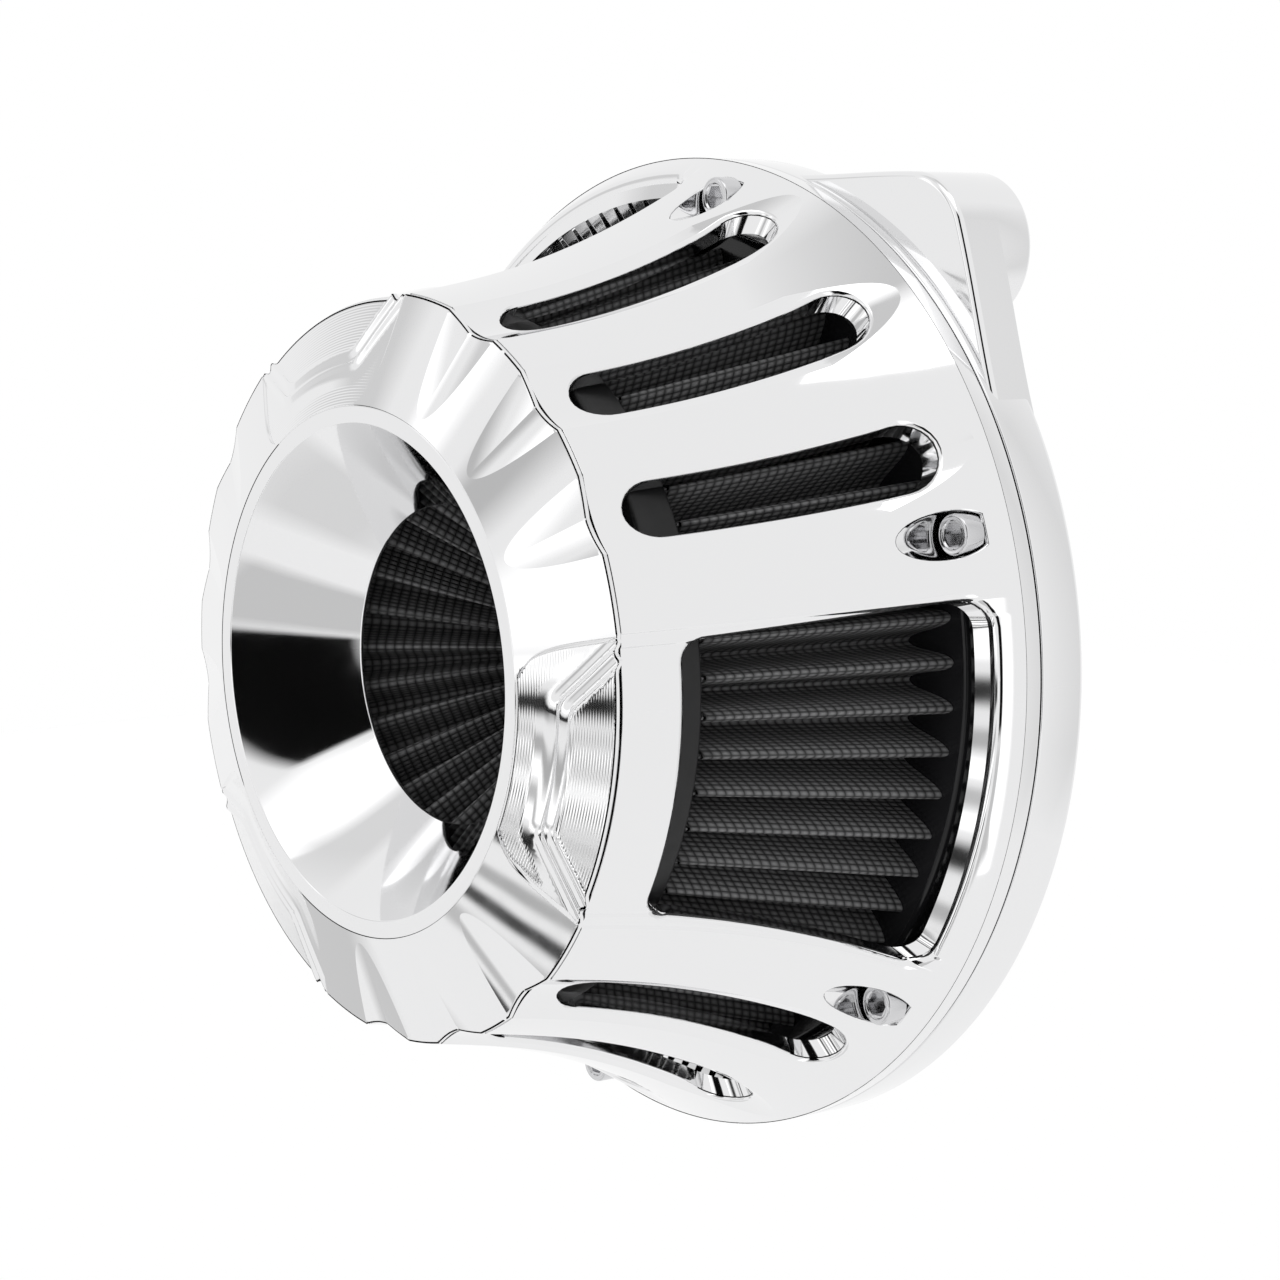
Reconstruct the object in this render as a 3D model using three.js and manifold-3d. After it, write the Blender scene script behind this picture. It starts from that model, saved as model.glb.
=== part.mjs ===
import * as THREE from "three";
import { mergeVertices } from "three/addons/utils/BufferGeometryUtils.js";
import Module from "manifold-3d";

// Open-element air cleaner for a motorcycle: a slotted bell-shaped cover with a velocity stack
// screwed into its nose, over a two-cone pleated filter on a round backplate with one ear.
// Millimetres. Every piece is drawn standing on its throttle-body face with +Z towards the mouth,
// and the finished assembly is then turned so that the mouth looks along -Y.
// Angles are in degrees, clockwise from the top as seen from the front.

// Driving dimensions
const DEPTH = 94;                  // throttle-body face to mouth
const FLANGE_RADIUS = 90;          // cover flange and backplate
const NOSE_RADIUS = 65.8;          // front edge of the cover
const MOUTH_RADIUS = 43.4;
const RIM_RADIUS = 46.5;           // outside of the thin ring round the mouth
const THROAT_RADIUS = 27.9;
const GAP = 0.3;                   // left between touching pieces
const SECTORS = 3;                 // the pattern repeats three times round the axis
const WINDOW_ANGLE = 102;
const SLOT_OFFSETS = [-80, -60, -40];   // from the window of the same sector
const SCREW_OFFSETS = [-30, 30];

// Heights above the throttle-body face
const PLATE_REAR = 7.7;
const PLATE_FRONT = 17.5;
const FLANGE_REAR = PLATE_FRONT + GAP;
const FLANGE_CREASE = 21.2;        // where the flare leaves the cylindrical flange band
const NOSE_HEIGHT = 86.4;          // front edge of the cover
const STACK_REAR = NOSE_HEIGHT + GAP;
const STACK_EDGE_HEIGHT = 87.1;
const THROAT_HEIGHT = 74.5;
const LIP_TOP = 82;                // inner lip of the cover, which the stack is screwed to
const LIP_REAR = 79;

// Cover
const BELL_POINTS = [[NOSE_RADIUS, NOSE_HEIGHT], [68.1, 74], [70.9, 62], [74.9, 50], [79.6, 40],
  [84.9, 29.5], [FLANGE_RADIUS, FLANGE_CREASE]];
const BELL_STEPS = 8;
const SPIGOT_BORE = 61.5;          // seats the stack's spigot
const LIP_RADIUS = 47.5;
const CAVITY_RADIUS = 78.6;        // inside of the flange, over the filter's rear ring
const CAVITY_POINTS = [[63.2, LIP_REAR], [64.4, 74], [67.2, 62], [71.2, 50], [75.6, 40.5],
  [CAVITY_RADIUS, 36]];
const WINDOW = { frontHalfAngle: 21, rearHalfAngle: 22.5, front: 75, rear: 26, corner: 4.5 };
const SLOT = { halfAngle: 4.2, front: 80.5, rear: 28.5, endHeight: 5.2 };
const TROUGH = { halfAngle: 6.1, floorHalfAngle: 4.4, depth: 1.5 };     // round each slot
const PANEL = { halfAngle: 22.8, floorHalfAngle: 21.8, depth: 1 };      // round each window
const RELIEF_FADE = { start: 30, end: 22.5 };
const LAND_COLUMNS = [6, 12, 18, PANEL.floorHalfAngle, PANEL.halfAngle, 28.4];
const CUTTER_RADII = { inner: 62, outer: 110 };

// Velocity stack
const STACK_RADIUS = 65.7;
const STACK_RADII = [RIM_RADIUS, 47.4, 48, 52, 57, 61.5, STACK_RADIUS];
const SPIGOT_RADIUS = SPIGOT_BORE - GAP;
const FUNNEL_WALL = 2.4;
const FUNNEL_BACK = [[THROAT_RADIUS + FUNNEL_WALL, THROAT_HEIGHT], [42, 78.5]];
const SPIGOT_START = 46.5;         // inside of the stack's seat on the lip
const FLUTE = { tipRadius: 49, halfAngle: 5.9, notch: 1.85 };
const POCKET = { innerRadius: 48, frontHalfAngle: 17.5, notch: 0.95 };

// Backplate
const BORE_RADIUS = 25.5;
const INLET = { radius: 28.5, height: 12 };                // rounded edge of the throttle bore
const HUB_RADIUS = 42;
const REAR_POCKET = { inner: 44, outer: 78, floor: 11.5 };
const PILOT = { inner: 56, outer: 60, height: 20.5 };      // centres the filter's rear ring
const EAR = { x: 55.2, y: 73.4, radius: 13, front: 16.5, hole: 4.25, holeDepth: 12,
  rootRadius: 84, tangentRadius: 89 };
const EDGE_BREAK = 0.6;
const HOLE_RUNOUT = 1;             // a hole goes this far past the end of its screw

// Fasteners and seals
const COVER_SCREW = { circle: 84.3, shank: 2, head: 3.6, headHeight: 4, seat: 25, length: 13 };
const COUNTERBORE_RADIUS = 4.05;
const STACK_SCREW = { circle: 54, shank: 2, head: 3.6, length: 6.5 };
const THROTTLE_SCREW = { circle: 35, shank: 3, head: 5.4, headHeight: 5.6, seat: 11.5, length: 11 };
const THROTTLE_SCREW_ANGLES = [60, 180, 300];
const KEY = { cover: 1.9, stack: 1.3, throttle: 2.6 };   // half the width across the flats
const KEY_DEPTH_SHARE = 0.55;      // of the head
const POINT_CHAMFER = 0.5;
const HEAD_CHAMFER = 0.4;
const THROTTLE_SEAL = { radius: 28.6, section: 1.3, height: 1.3 };
const STACK_SEAL = { radius: 59, section: 1, height: LIP_TOP + GAP + 1 };

// Filter element
const FRONT_CAP = {
  rear: 68, front: 76.5, radius: 62.8,
  bore: { radius: 31, rear: 73, front: 74.2 },       // lip under the throat
  slope: { rearStart: 37, rearEnd: 43, front: 38.5 },
};
const REAR_RING = { rear: FLANGE_REAR, front: 23, radius: 77.6, bore: 60.5 };
const OUTER_MEDIA = {
  pleats: 60, front: 67.7, rear: 23.3, frontRadius: 61.9, rearRadius: 74.5, depth: 11,
};
const INNER_MEDIA = { pleats: 28, front: 72.7, rear: 42.8, apexHeight: 32, spread: 0.807, depth: 8 };
const INNER_CAP_PROFILE = [[0, 34], [13.5, 34], [14.6, 35.5], [14.6, 37.4], [8.4, 42.4], [0, 42.4]];
const SHEET_THICKNESS = 1.1;
const PLEAT_SHARES = { tip: 0.22, valley: 0.12, innerTip: 0.06, innerValley: 0.28 };   // of the pitch

const chrome = { color: 0xd9dadc, roughness: 0.06, metalness: 1 };
const steel = { color: 0xb9babd, roughness: 0.22, metalness: 1 };
const gauze = { color: 0x1a1a1b, roughness: 0.7, metalness: 0 };
const urethane = { color: 0x0c0c0d, roughness: 0.35, metalness: 0 };
const rubber = { color: 0x101011, roughness: 0.6, metalness: 0 };

const wasm = await Module();
wasm.setup();

// Geometry helpers

function polar(radius, angle, height) {
  const turn = THREE.MathUtils.degToRad(angle);
  return new THREE.Vector3(radius * Math.sin(turn), radius * Math.cos(turn), height);
}

// Share of the way from start to end, held between 0 and 1
function share(value, start, end) {
  return THREE.MathUtils.clamp((value - start) / (end - start), 0, 1);
}

// Smallest turn from an angle to any of the targets
function nearestTurn(angle, targets) {
  const turns = targets.map((target) => THREE.MathUtils.euclideanModulo(angle - target + 180, 360) - 180);
  return Math.min(...turns.map(Math.abs));
}

function evenAngles(count, first = 0) {
  return Array.from({ length: count }, (_, i) => first + (i * 360) / count);
}

function indexedGeometry(points, faces) {
  const geometry = new THREE.BufferGeometry();
  geometry.setAttribute("position", new THREE.Float32BufferAttribute(points.flatMap((p) => p.toArray()), 3));
  geometry.setIndex(faces);
  return geometry;
}

function toSolid(geometry) {
  const bare = geometry.clone();
  bare.deleteAttribute("normal");
  bare.deleteAttribute("uv");
  const merged = mergeVertices(bare, 1e-4);
  const mesh = new wasm.Mesh({
    numProp: 3,
    vertProperties: new Float32Array(merged.attributes.position.array),
    triVerts: new Uint32Array(merged.index.array),
  });
  return new wasm.Manifold(mesh);
}

function toGeometry(solid) {
  const mesh = solid.getMesh();
  const geometry = new THREE.BufferGeometry();
  geometry.setAttribute("position", new THREE.BufferAttribute(new Float32Array(mesh.vertProperties), 3));
  geometry.setIndex(new THREE.BufferAttribute(new Uint32Array(mesh.triVerts), 1));
  return geometry;
}

function cut(body, cutters) {
  return toGeometry(cutters.reduce((left, cutter) => left.subtract(toSolid(cutter)), toSolid(body)));
}

function join(bodies) {
  const [first, ...others] = bodies.map(toSolid);
  return toGeometry(others.reduce((whole, other) => whole.add(other), first));
}

// Faces between neighbouring loops of points. In a closed body the last loop joins the first.
function loopFaces(loops, size, closed) {
  const faces = [];
  const spans = closed ? loops : loops - 1;
  for (let i = 0; i < spans; i++) {
    const next = (i + 1) % loops;
    for (let j = 0; j < size; j++) {
      const k = (j + 1) % size;
      faces.push(i * size + j, i * size + k, next * size + k);
      faces.push(i * size + j, next * size + k, next * size + j);
    }
  }
  return faces;
}

// The same faces looking the other way
function flipped(faces) {
  return faces.map((_, i) => faces[i + 2 - 2 * (i % 3)]);
}

// Closed ring whose section may change with the angle. sectionAt gives [radius, height] points in
// the order bottom, outside, top, inside.
function ringBody(angles, sectionAt) {
  const sections = angles.map(sectionAt);
  const points = sections.flatMap((section, i) => section.map(([r, h]) => polar(r, angles[i], h)));
  return indexedGeometry(points, loopFaces(angles.length, sections[0].length, true));
}

function plainRing(section, segments) {
  return ringBody(evenAngles(segments), () => section);
}

// Solid of revolution, from [radius, height] points that run up from the axis and back to it
function turned(profile, segments = 16) {
  const geometry = new THREE.LatheGeometry(profile.map(([r, h]) => new THREE.Vector2(r, h)), segments);
  return geometry.rotateX(Math.PI / 2);
}

function drill(x, y, radius, from, to, segments = 12) {
  const tool = new THREE.CylinderGeometry(radius, radius, to - from, segments);
  return tool.rotateX(Math.PI / 2).translate(x, y, (from + to) / 2);
}

function drillAt(circle, angle, radius, from, to, segments) {
  const centre = polar(circle, angle, 0);
  return drill(centre.x, centre.y, radius, from, to, segments);
}

function placeAt(geometry, circle, angle) {
  const centre = polar(circle, angle, 0);
  return geometry.translate(centre.x, centre.y, 0);
}

// Prism between the cutter radii, from an outline of [angle, height] points
function radialPrism(outline) {
  const size = outline.length;
  const caps = THREE.ShapeUtils.triangulateShape(outline.map((p) => new THREE.Vector2(...p)), []);
  const loops = [CUTTER_RADII.inner, CUTTER_RADII.outer];
  const points = loops.flatMap((radius) => outline.map(([angle, height]) => polar(radius, angle, height)));
  const ends = caps.flatMap(([a, b, c]) => [a, b, c, size + a, size + c, size + b]);
  return indexedGeometry(points, [...ends, ...flipped(loopFaces(2, size, false))]);
}

// Octagonal section of a round seal, grown by an allowance
function sealSection({ radius, section, height }, allowance = 0) {
  const size = section + allowance;
  return Array.from({ length: 8 }, (_, i) => {
    const turn = ((i + 0.5) * Math.PI) / 4;
    return [radius + size * Math.cos(turn), height + size * Math.sin(turn)];
  });
}

// The repeating pattern

const windowAngles = evenAngles(SECTORS, WINDOW_ANGLE);
const slotAngles = windowAngles.flatMap((window) => SLOT_OFFSETS.map((offset) => window + offset));
const coverScrewAngles = windowAngles.flatMap((window) => SCREW_OFFSETS.map((offset) => window + offset));
const stackScrewAngles = windowAngles.map((window) => window + SLOT_OFFSETS[1]);

// Angles of the columns of the cover and the stack, close together at the edges of their relief
function patternAngles() {
  const slotColumns = [-TROUGH.halfAngle, -TROUGH.floorHalfAngle, 0, TROUGH.floorHalfAngle, TROUGH.halfAngle];
  const sector = [
    0,
    ...LAND_COLUMNS,
    ...LAND_COLUMNS.map((column) => -column),
    ...SLOT_OFFSETS.flatMap((offset) => slotColumns.map((column) => offset + column)),
  ];
  const all = windowAngles.flatMap((window) => sector.map((offset) => window + offset));
  return all.map((angle) => THREE.MathUtils.euclideanModulo(angle, 360)).sort((a, b) => a - b);
}

// Cover

const bell = new THREE.SplineCurve(BELL_POINTS.map((p) => new THREE.Vector2(...p)));

function coverRelief(angle, height) {
  const fade = 1 - share(height, RELIEF_FADE.start, RELIEF_FADE.end);
  const slotTurn = nearestTurn(angle, slotAngles);
  const windowTurn = nearestTurn(angle, windowAngles);
  const trough = TROUGH.depth * (1 - share(slotTurn, TROUGH.floorHalfAngle, TROUGH.halfAngle));
  const panel = PANEL.depth * (1 - share(windowTurn, PANEL.floorHalfAngle, PANEL.halfAngle));
  return Math.max(trough, panel) * fade;
}

function coverSection(angle) {
  const outside = bell.getPoints(BELL_STEPS).reverse().map((p) => [p.x - coverRelief(angle, p.y), p.y]);
  return [
    [CAVITY_RADIUS, FLANGE_REAR],
    [FLANGE_RADIUS, FLANGE_REAR],
    ...outside,
    [SPIGOT_BORE, NOSE_HEIGHT],
    [SPIGOT_BORE, LIP_TOP],
    [LIP_RADIUS, LIP_TOP],
    [LIP_RADIUS, LIP_REAR],
    ...CAVITY_POINTS,
  ];
}

// Outline of [angle, height] corners, each rounded over one unit of the scale
function roundedOutline(corners, scale) {
  const path = new THREE.Path();
  const points = corners.map(([angle, height]) => new THREE.Vector2(angle, height).divide(scale));
  points.forEach((corner, i) => {
    const before = points.at(i - 1);
    const after = points[(i + 1) % points.length];
    const start = before.clone().sub(corner).setLength(1).add(corner);
    const end = after.clone().sub(corner).setLength(1).add(corner);
    if (i === 0) path.moveTo(start.x, start.y);
    else path.lineTo(start.x, start.y);
    path.quadraticCurveTo(corner.x, corner.y, end.x, end.y);
  });
  return path.getPoints(3).map((p) => p.multiply(scale).toArray());
}

function windowOutline(centre) {
  const corners = [
    [centre - WINDOW.rearHalfAngle, WINDOW.rear],
    [centre + WINDOW.rearHalfAngle, WINDOW.rear],
    [centre + WINDOW.frontHalfAngle, WINDOW.front],
    [centre - WINDOW.frontHalfAngle, WINDOW.front],
  ];
  const cornerAngle = THREE.MathUtils.radToDeg(WINDOW.corner / NOSE_RADIUS);
  return roundedOutline(corners, new THREE.Vector2(cornerAngle, WINDOW.corner));
}

function slotOutline(centre) {
  const path = new THREE.Path();
  path.absellipse(centre, SLOT.front - SLOT.endHeight, SLOT.halfAngle, SLOT.endHeight, 0, Math.PI);
  path.absellipse(centre, SLOT.rear + SLOT.endHeight, SLOT.halfAngle, SLOT.endHeight, Math.PI, 2 * Math.PI);
  return path.getPoints(3).map((p) => p.toArray());
}

function coverShell() {
  const { circle, shank, seat } = COVER_SCREW;
  const stackHead = countersunkProfile(STACK_SCREW, GAP);
  const cutters = [
    ...windowAngles.map((angle) => radialPrism(windowOutline(angle))),
    ...slotAngles.map((angle) => radialPrism(slotOutline(angle))),
    ...coverScrewAngles.map((angle) => drillAt(circle, angle, COUNTERBORE_RADIUS, seat, NOSE_HEIGHT, 18)),
    ...coverScrewAngles.map((angle) => drillAt(circle, angle, shank + GAP, PLATE_REAR, seat + 1)),
    ...stackScrewAngles.map((angle) => placeAt(turned(stackHead, 12), STACK_SCREW.circle, angle)),
  ];
  return cut(ringBody(patternAngles(), coverSection), cutters);
}

// Velocity stack: front cone with flutes at the slots and pockets at the windows, each of them
// given by how far it brings the cone in towards the axis

function fluteNotch(angle, radius) {
  const along = share(radius, FLUTE.tipRadius, STACK_RADIUS);
  const halfAngle = Math.max(FLUTE.halfAngle * along, 0.01);
  return FLUTE.notch * along * (1 - share(nearestTurn(angle, slotAngles), 0, halfAngle));
}

function pocketNotch(angle, radius) {
  const along = share(radius, POCKET.innerRadius, STACK_RADIUS);
  const halfAngle = THREE.MathUtils.lerp(POCKET.frontHalfAngle, PANEL.halfAngle, along);
  const inside = radius >= POCKET.innerRadius && nearestTurn(angle, windowAngles) < halfAngle;
  return inside ? POCKET.notch : 0;
}

function stackSection(angle) {
  const front = STACK_RADII.map((radius) => {
    const notch = Math.max(fluteNotch(angle, radius), pocketNotch(angle, radius));
    const height = THREE.MathUtils.mapLinear(radius, RIM_RADIUS, STACK_RADIUS, DEPTH, STACK_EDGE_HEIGHT);
    return [radius - notch, height];
  });
  const edgeRadius = front.at(-1)[0];
  return [
    [THROAT_RADIUS, THROAT_HEIGHT],
    ...FUNNEL_BACK,
    [SPIGOT_START, LIP_TOP + GAP],
    [SPIGOT_RADIUS, LIP_TOP + GAP],
    [SPIGOT_RADIUS, STACK_REAR],
    [edgeRadius, STACK_REAR],
    ...front.reverse(),
    [MOUTH_RADIUS, DEPTH],
  ];
}

function velocityStack() {
  const { circle, shank, length } = STACK_SCREW;
  const holeTop = LIP_REAR + length + HOLE_RUNOUT;
  return cut(ringBody(patternAngles(), stackSection), [
    plainRing(sealSection(STACK_SEAL, GAP), 48),
    ...stackScrewAngles.map((angle) => drillAt(circle, angle, shank + GAP, LIP_REAR, holeTop, 12)),
  ]);
}

// Backplate: ring with a hub behind, a pilot in front and one ear

function plateSection() {
  const inlet = new THREE.EllipseCurve(
    INLET.radius, INLET.height, INLET.radius - BORE_RADIUS, PLATE_FRONT - INLET.height, Math.PI / 2, Math.PI);
  return [
    [BORE_RADIUS, 0],
    [HUB_RADIUS, 0],
    [REAR_POCKET.inner, REAR_POCKET.floor],
    [REAR_POCKET.outer, REAR_POCKET.floor],
    [REAR_POCKET.outer, PLATE_REAR],
    [FLANGE_RADIUS - EDGE_BREAK, PLATE_REAR],
    [FLANGE_RADIUS, PLATE_REAR + EDGE_BREAK],
    [FLANGE_RADIUS, PLATE_FRONT],
    [PILOT.outer, PLATE_FRONT],
    [PILOT.outer, PILOT.height],
    [PILOT.inner, PILOT.height],
    [PILOT.inner, PLATE_FRONT],
    ...inlet.getPoints(3).map((p) => p.toArray()),
  ];
}

// Web between the plate's edge and the boss, along their two common tangents
function earWeb() {
  const boss = new THREE.Vector2(EAR.x, EAR.y);
  const heading = boss.angle();
  const spread = Math.acos((FLANGE_RADIUS - EAR.radius) / boss.length());
  const spoke = (radius, turn) => new THREE.Vector2(radius, 0).rotateAround(new THREE.Vector2(), turn);
  const shape = new THREE.Shape([
    spoke(EAR.rootRadius, heading),
    spoke(EAR.tangentRadius, heading - spread),
    spoke(EAR.radius - EDGE_BREAK, heading - spread).add(boss),
    spoke(EAR.radius - EDGE_BREAK, heading + spread).add(boss),
    spoke(EAR.tangentRadius, heading + spread),
  ]);
  const web = new THREE.ExtrudeGeometry(shape, { depth: EAR.front - PLATE_REAR, bevelEnabled: false });
  return web.translate(0, 0, PLATE_REAR);
}

function backplate() {
  const { circle, shank, seat } = COVER_SCREW;
  const { circle: throttleCircle } = THROTTLE_SCREW;
  const throttleHole = (angle, radius, from) => drillAt(throttleCircle, angle, radius + GAP, from, DEPTH);
  const blank = join([
    plainRing(plateSection(), 72),
    earWeb(),
    drill(EAR.x, EAR.y, EAR.radius, 0, EAR.front, 24),
  ]);
  const coverHoleFloor = seat - COVER_SCREW.length - HOLE_RUNOUT;
  return cut(blank, [
    drill(EAR.x, EAR.y, EAR.hole, -HOLE_RUNOUT, EAR.holeDepth),
    plainRing(sealSection(THROTTLE_SEAL, GAP), 36),
    ...coverScrewAngles.map((angle) => drillAt(circle, angle, shank + GAP, coverHoleFloor, DEPTH, 12)),
    ...THROTTLE_SCREW_ANGLES.map((angle) => throttleHole(angle, THROTTLE_SCREW.shank, -HOLE_RUNOUT)),
    ...THROTTLE_SCREW_ANGLES.map((angle) => throttleHole(angle, THROTTLE_SCREW.head, THROTTLE_SCREW.seat)),
  ]);
}

// Fasteners

function hexKey(halfFlats, from, to) {
  return drill(0, 0, halfFlats / Math.cos(Math.PI / 6), from, to, 6);
}

function socketHeadScrew({ shank, head, headHeight, seat, length }, key) {
  const bottom = seat + GAP;
  const top = bottom + headHeight;
  const profile = [
    [0, bottom - length],
    [shank - POINT_CHAMFER, bottom - length],
    [shank, bottom - length + POINT_CHAMFER],
    [shank, bottom],
    [head, bottom],
    [head, top - HEAD_CHAMFER],
    [head - HEAD_CHAMFER, top],
    [0, top],
  ];
  return cut(turned(profile), [hexKey(key, top - headHeight * KEY_DEPTH_SHARE, top + 1)]);
}

function countersunkProfile({ shank, head, length }, allowance) {
  const neck = LIP_REAR + head - shank;
  return [
    [0, LIP_REAR - allowance],
    [head + allowance, LIP_REAR - allowance],
    [head + allowance, LIP_REAR],
    [shank + allowance, neck],
    [shank + allowance, LIP_REAR + length],
    [0, LIP_REAR + length],
  ];
}

function stackScrew() {
  const body = turned(countersunkProfile(STACK_SCREW, 0).filter((_, i) => i !== 1), 20);
  const keyDepth = LIP_REAR + STACK_SCREW.head * KEY_DEPTH_SHARE;
  return cut(body, [hexKey(KEY.stack, LIP_REAR - 1, keyDepth)]);
}

// Filter element

// Folded sheet between a front edge and a rear edge. Each edge gives the [radius, height] of the
// pleat tips and of the valleys, and through is the [radius, height] step through the sheet.
function pleatedSheet(count, edges, through) {
  const pitch = 360 / count;
  const { tip, valley, innerTip, innerValley } = PLEAT_SHARES;
  const points = [];
  edges.forEach((edge) => {
    const sides = [[tip, valley, [0, 0]], [innerTip, innerValley, through]];
    sides.forEach(([tipShare, valleyShare, step]) => {
      for (let i = 0; i < count; i++) {
        const fold = [-tipShare, tipShare, 0.5 - valleyShare, 0.5 + valleyShare];
        fold.forEach((at, j) => {
          const [radius, height] = j < 2 ? edge.tip : edge.valley;
          points.push(polar(radius + step[0], (i + at) * pitch, height + step[1]));
        });
      }
    });
  });
  const size = count * 4;
  return { points, faces: sheetFaces(size) };
}

// Loops in the order front face side, front far side, rear face side, rear far side
function sheetFaces(size) {
  const [frontFace, frontFar, rearFace, rearFar] = [0, size, 2 * size, 3 * size];
  const bands = [[rearFace, frontFace], [frontFace, frontFar], [frontFar, rearFar], [rearFar, rearFace]];
  return bands.flatMap(([from, to]) => {
    const faces = [];
    for (let i = 0; i < size; i++) {
      const next = (i + 1) % size;
      faces.push(from + i, to + i, to + next, from + i, to + next, from + next);
    }
    return faces;
  });
}

function outerMedia() {
  const { pleats, front, rear, frontRadius, rearRadius, depth } = OUTER_MEDIA;
  const edge = (radius, height) => ({ tip: [radius, height], valley: [radius - depth, height] });
  const { points, faces } = pleatedSheet(
    pleats, [edge(frontRadius, front), edge(rearRadius, rear)], [-SHEET_THICKNESS, 0]);
  return indexedGeometry(points, faces);
}

// Inverted cone seen through the throat. Its pleat tips lean towards the mouth.
function innerMedia() {
  const { pleats, front, rear, apexHeight, spread, depth } = INNER_MEDIA;
  const lean = Math.atan(spread);
  const back = [Math.cos(lean), -Math.sin(lean)];
  const edge = (height) => {
    const tip = [(height - apexHeight) * spread, height];
    return { tip, valley: [tip[0] + depth * back[0], tip[1] + depth * back[1]] };
  };
  const through = back.map((part) => part * SHEET_THICKNESS);
  const { points, faces } = pleatedSheet(pleats, [edge(front), edge(rear)], through);
  return indexedGeometry(points, flipped(faces));
}

function frontCap() {
  const { rear, front, radius, bore, slope } = FRONT_CAP;
  return plainRing([
    [bore.radius, bore.rear],
    [slope.rearStart, bore.rear],
    [slope.rearEnd, rear],
    [radius - EDGE_BREAK, rear],
    [radius, rear + EDGE_BREAK],
    [radius, front - EDGE_BREAK],
    [radius - EDGE_BREAK, front],
    [slope.front, front],
    [bore.radius, bore.front],
  ], 72);
}

function rearRing() {
  const { rear, front, radius, bore } = REAR_RING;
  return plainRing([
    [bore, rear],
    [radius, rear],
    [radius, front - EDGE_BREAK],
    [radius - EDGE_BREAK, front],
    [bore, front],
  ], 72);
}

// Cap that closes the small end of the inverted cone
function innerCap() {
  return turned(INNER_CAP_PROFILE, INNER_MEDIA.pleats);
}

// Assembly

const element = new THREE.Group();
const assembly = new THREE.Group();
assembly.rotation.x = Math.PI / 2;
assembly.add(element);

function addPiece(name, geometry, look) {
  const mesh = new THREE.Mesh(geometry, new THREE.MeshStandardMaterial(look));
  mesh.name = name;
  element.add(mesh);
}

function addCopies(name, geometry, circle, angles, look) {
  angles.forEach((angle, i) => addPiece(`${name}_${i + 1}`, placeAt(geometry.clone(), circle, angle), look));
}

addPiece("backplate", backplate(), chrome);
addPiece("throttle_o_ring", plainRing(sealSection(THROTTLE_SEAL), 36), rubber);
addCopies("throttle_screw", socketHeadScrew(THROTTLE_SCREW, KEY.throttle), THROTTLE_SCREW.circle,
  THROTTLE_SCREW_ANGLES, steel);

addPiece("filter_rear_ring", rearRing(), urethane);
addPiece("filter_outer_media", outerMedia(), gauze);
addPiece("filter_front_cap", frontCap(), urethane);
addPiece("filter_inner_media", innerMedia(), gauze);
addPiece("filter_inner_cap", innerCap(), urethane);

addPiece("cover_shell", coverShell(), chrome);
addPiece("velocity_stack", velocityStack(), chrome);
addPiece("stack_o_ring", plainRing(sealSection(STACK_SEAL), 48), rubber);
addCopies("stack_screw", stackScrew(), STACK_SCREW.circle, stackScrewAngles, steel);
addCopies("cover_screw", socketHeadScrew(COVER_SCREW, KEY.cover), COVER_SCREW.circle,
  coverScrewAngles, steel);

export default assembly;
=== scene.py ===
import math

import bpy
import numpy as np
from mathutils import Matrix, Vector
from mathutils.geometry import delaunay_2d_cdt

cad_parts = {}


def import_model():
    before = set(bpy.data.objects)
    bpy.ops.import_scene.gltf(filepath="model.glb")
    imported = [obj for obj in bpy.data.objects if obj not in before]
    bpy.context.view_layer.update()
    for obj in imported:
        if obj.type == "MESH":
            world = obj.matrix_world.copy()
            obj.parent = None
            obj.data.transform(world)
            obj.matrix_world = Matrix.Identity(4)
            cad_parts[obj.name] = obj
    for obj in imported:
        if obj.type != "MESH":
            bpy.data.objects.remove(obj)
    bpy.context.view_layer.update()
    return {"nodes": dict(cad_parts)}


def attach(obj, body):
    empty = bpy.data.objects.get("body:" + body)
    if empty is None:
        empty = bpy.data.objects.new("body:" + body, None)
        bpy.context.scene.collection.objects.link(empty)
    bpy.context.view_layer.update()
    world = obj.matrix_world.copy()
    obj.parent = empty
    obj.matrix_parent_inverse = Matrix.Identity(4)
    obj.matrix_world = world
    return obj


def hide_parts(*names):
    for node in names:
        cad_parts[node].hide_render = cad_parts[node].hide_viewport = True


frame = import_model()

# Open-element motorcycle air cleaner: chrome slotted cover, velocity stack, pleated filter and
# backplate. Lengths are millimetres and angles degrees, clockwise from the top as seen from the
# front. Heights rise from the throttle-body face to the mouth, which looks along -Y.

MM = 0.001
SHARP_BEND = 35.0  # a section's corner above this stays sharp
FORWARD = np.array([0.0, -1.0, 0.0])

# Driving dimensions
DEPTH = 94.0  # throttle-body face to mouth
FLANGE_RADIUS = 90.0
NOSE_RADIUS, NOSE_HEIGHT = 65.8, 86.4
FLANGE_CREASE, FLANGE_REAR = 21.2, 17.8
SECTOR = 120.0  # the pattern repeats every sector
WINDOW_ANGLE = 102.0
SLOT_OFFSETS = (-60.0, -40.0, 40.0)  # from the window of the same sector
SCREW_OFFSETS = (-30.0, 30.0)
SECTOR_START, SECTOR_END = -70.0, 50.0

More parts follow.
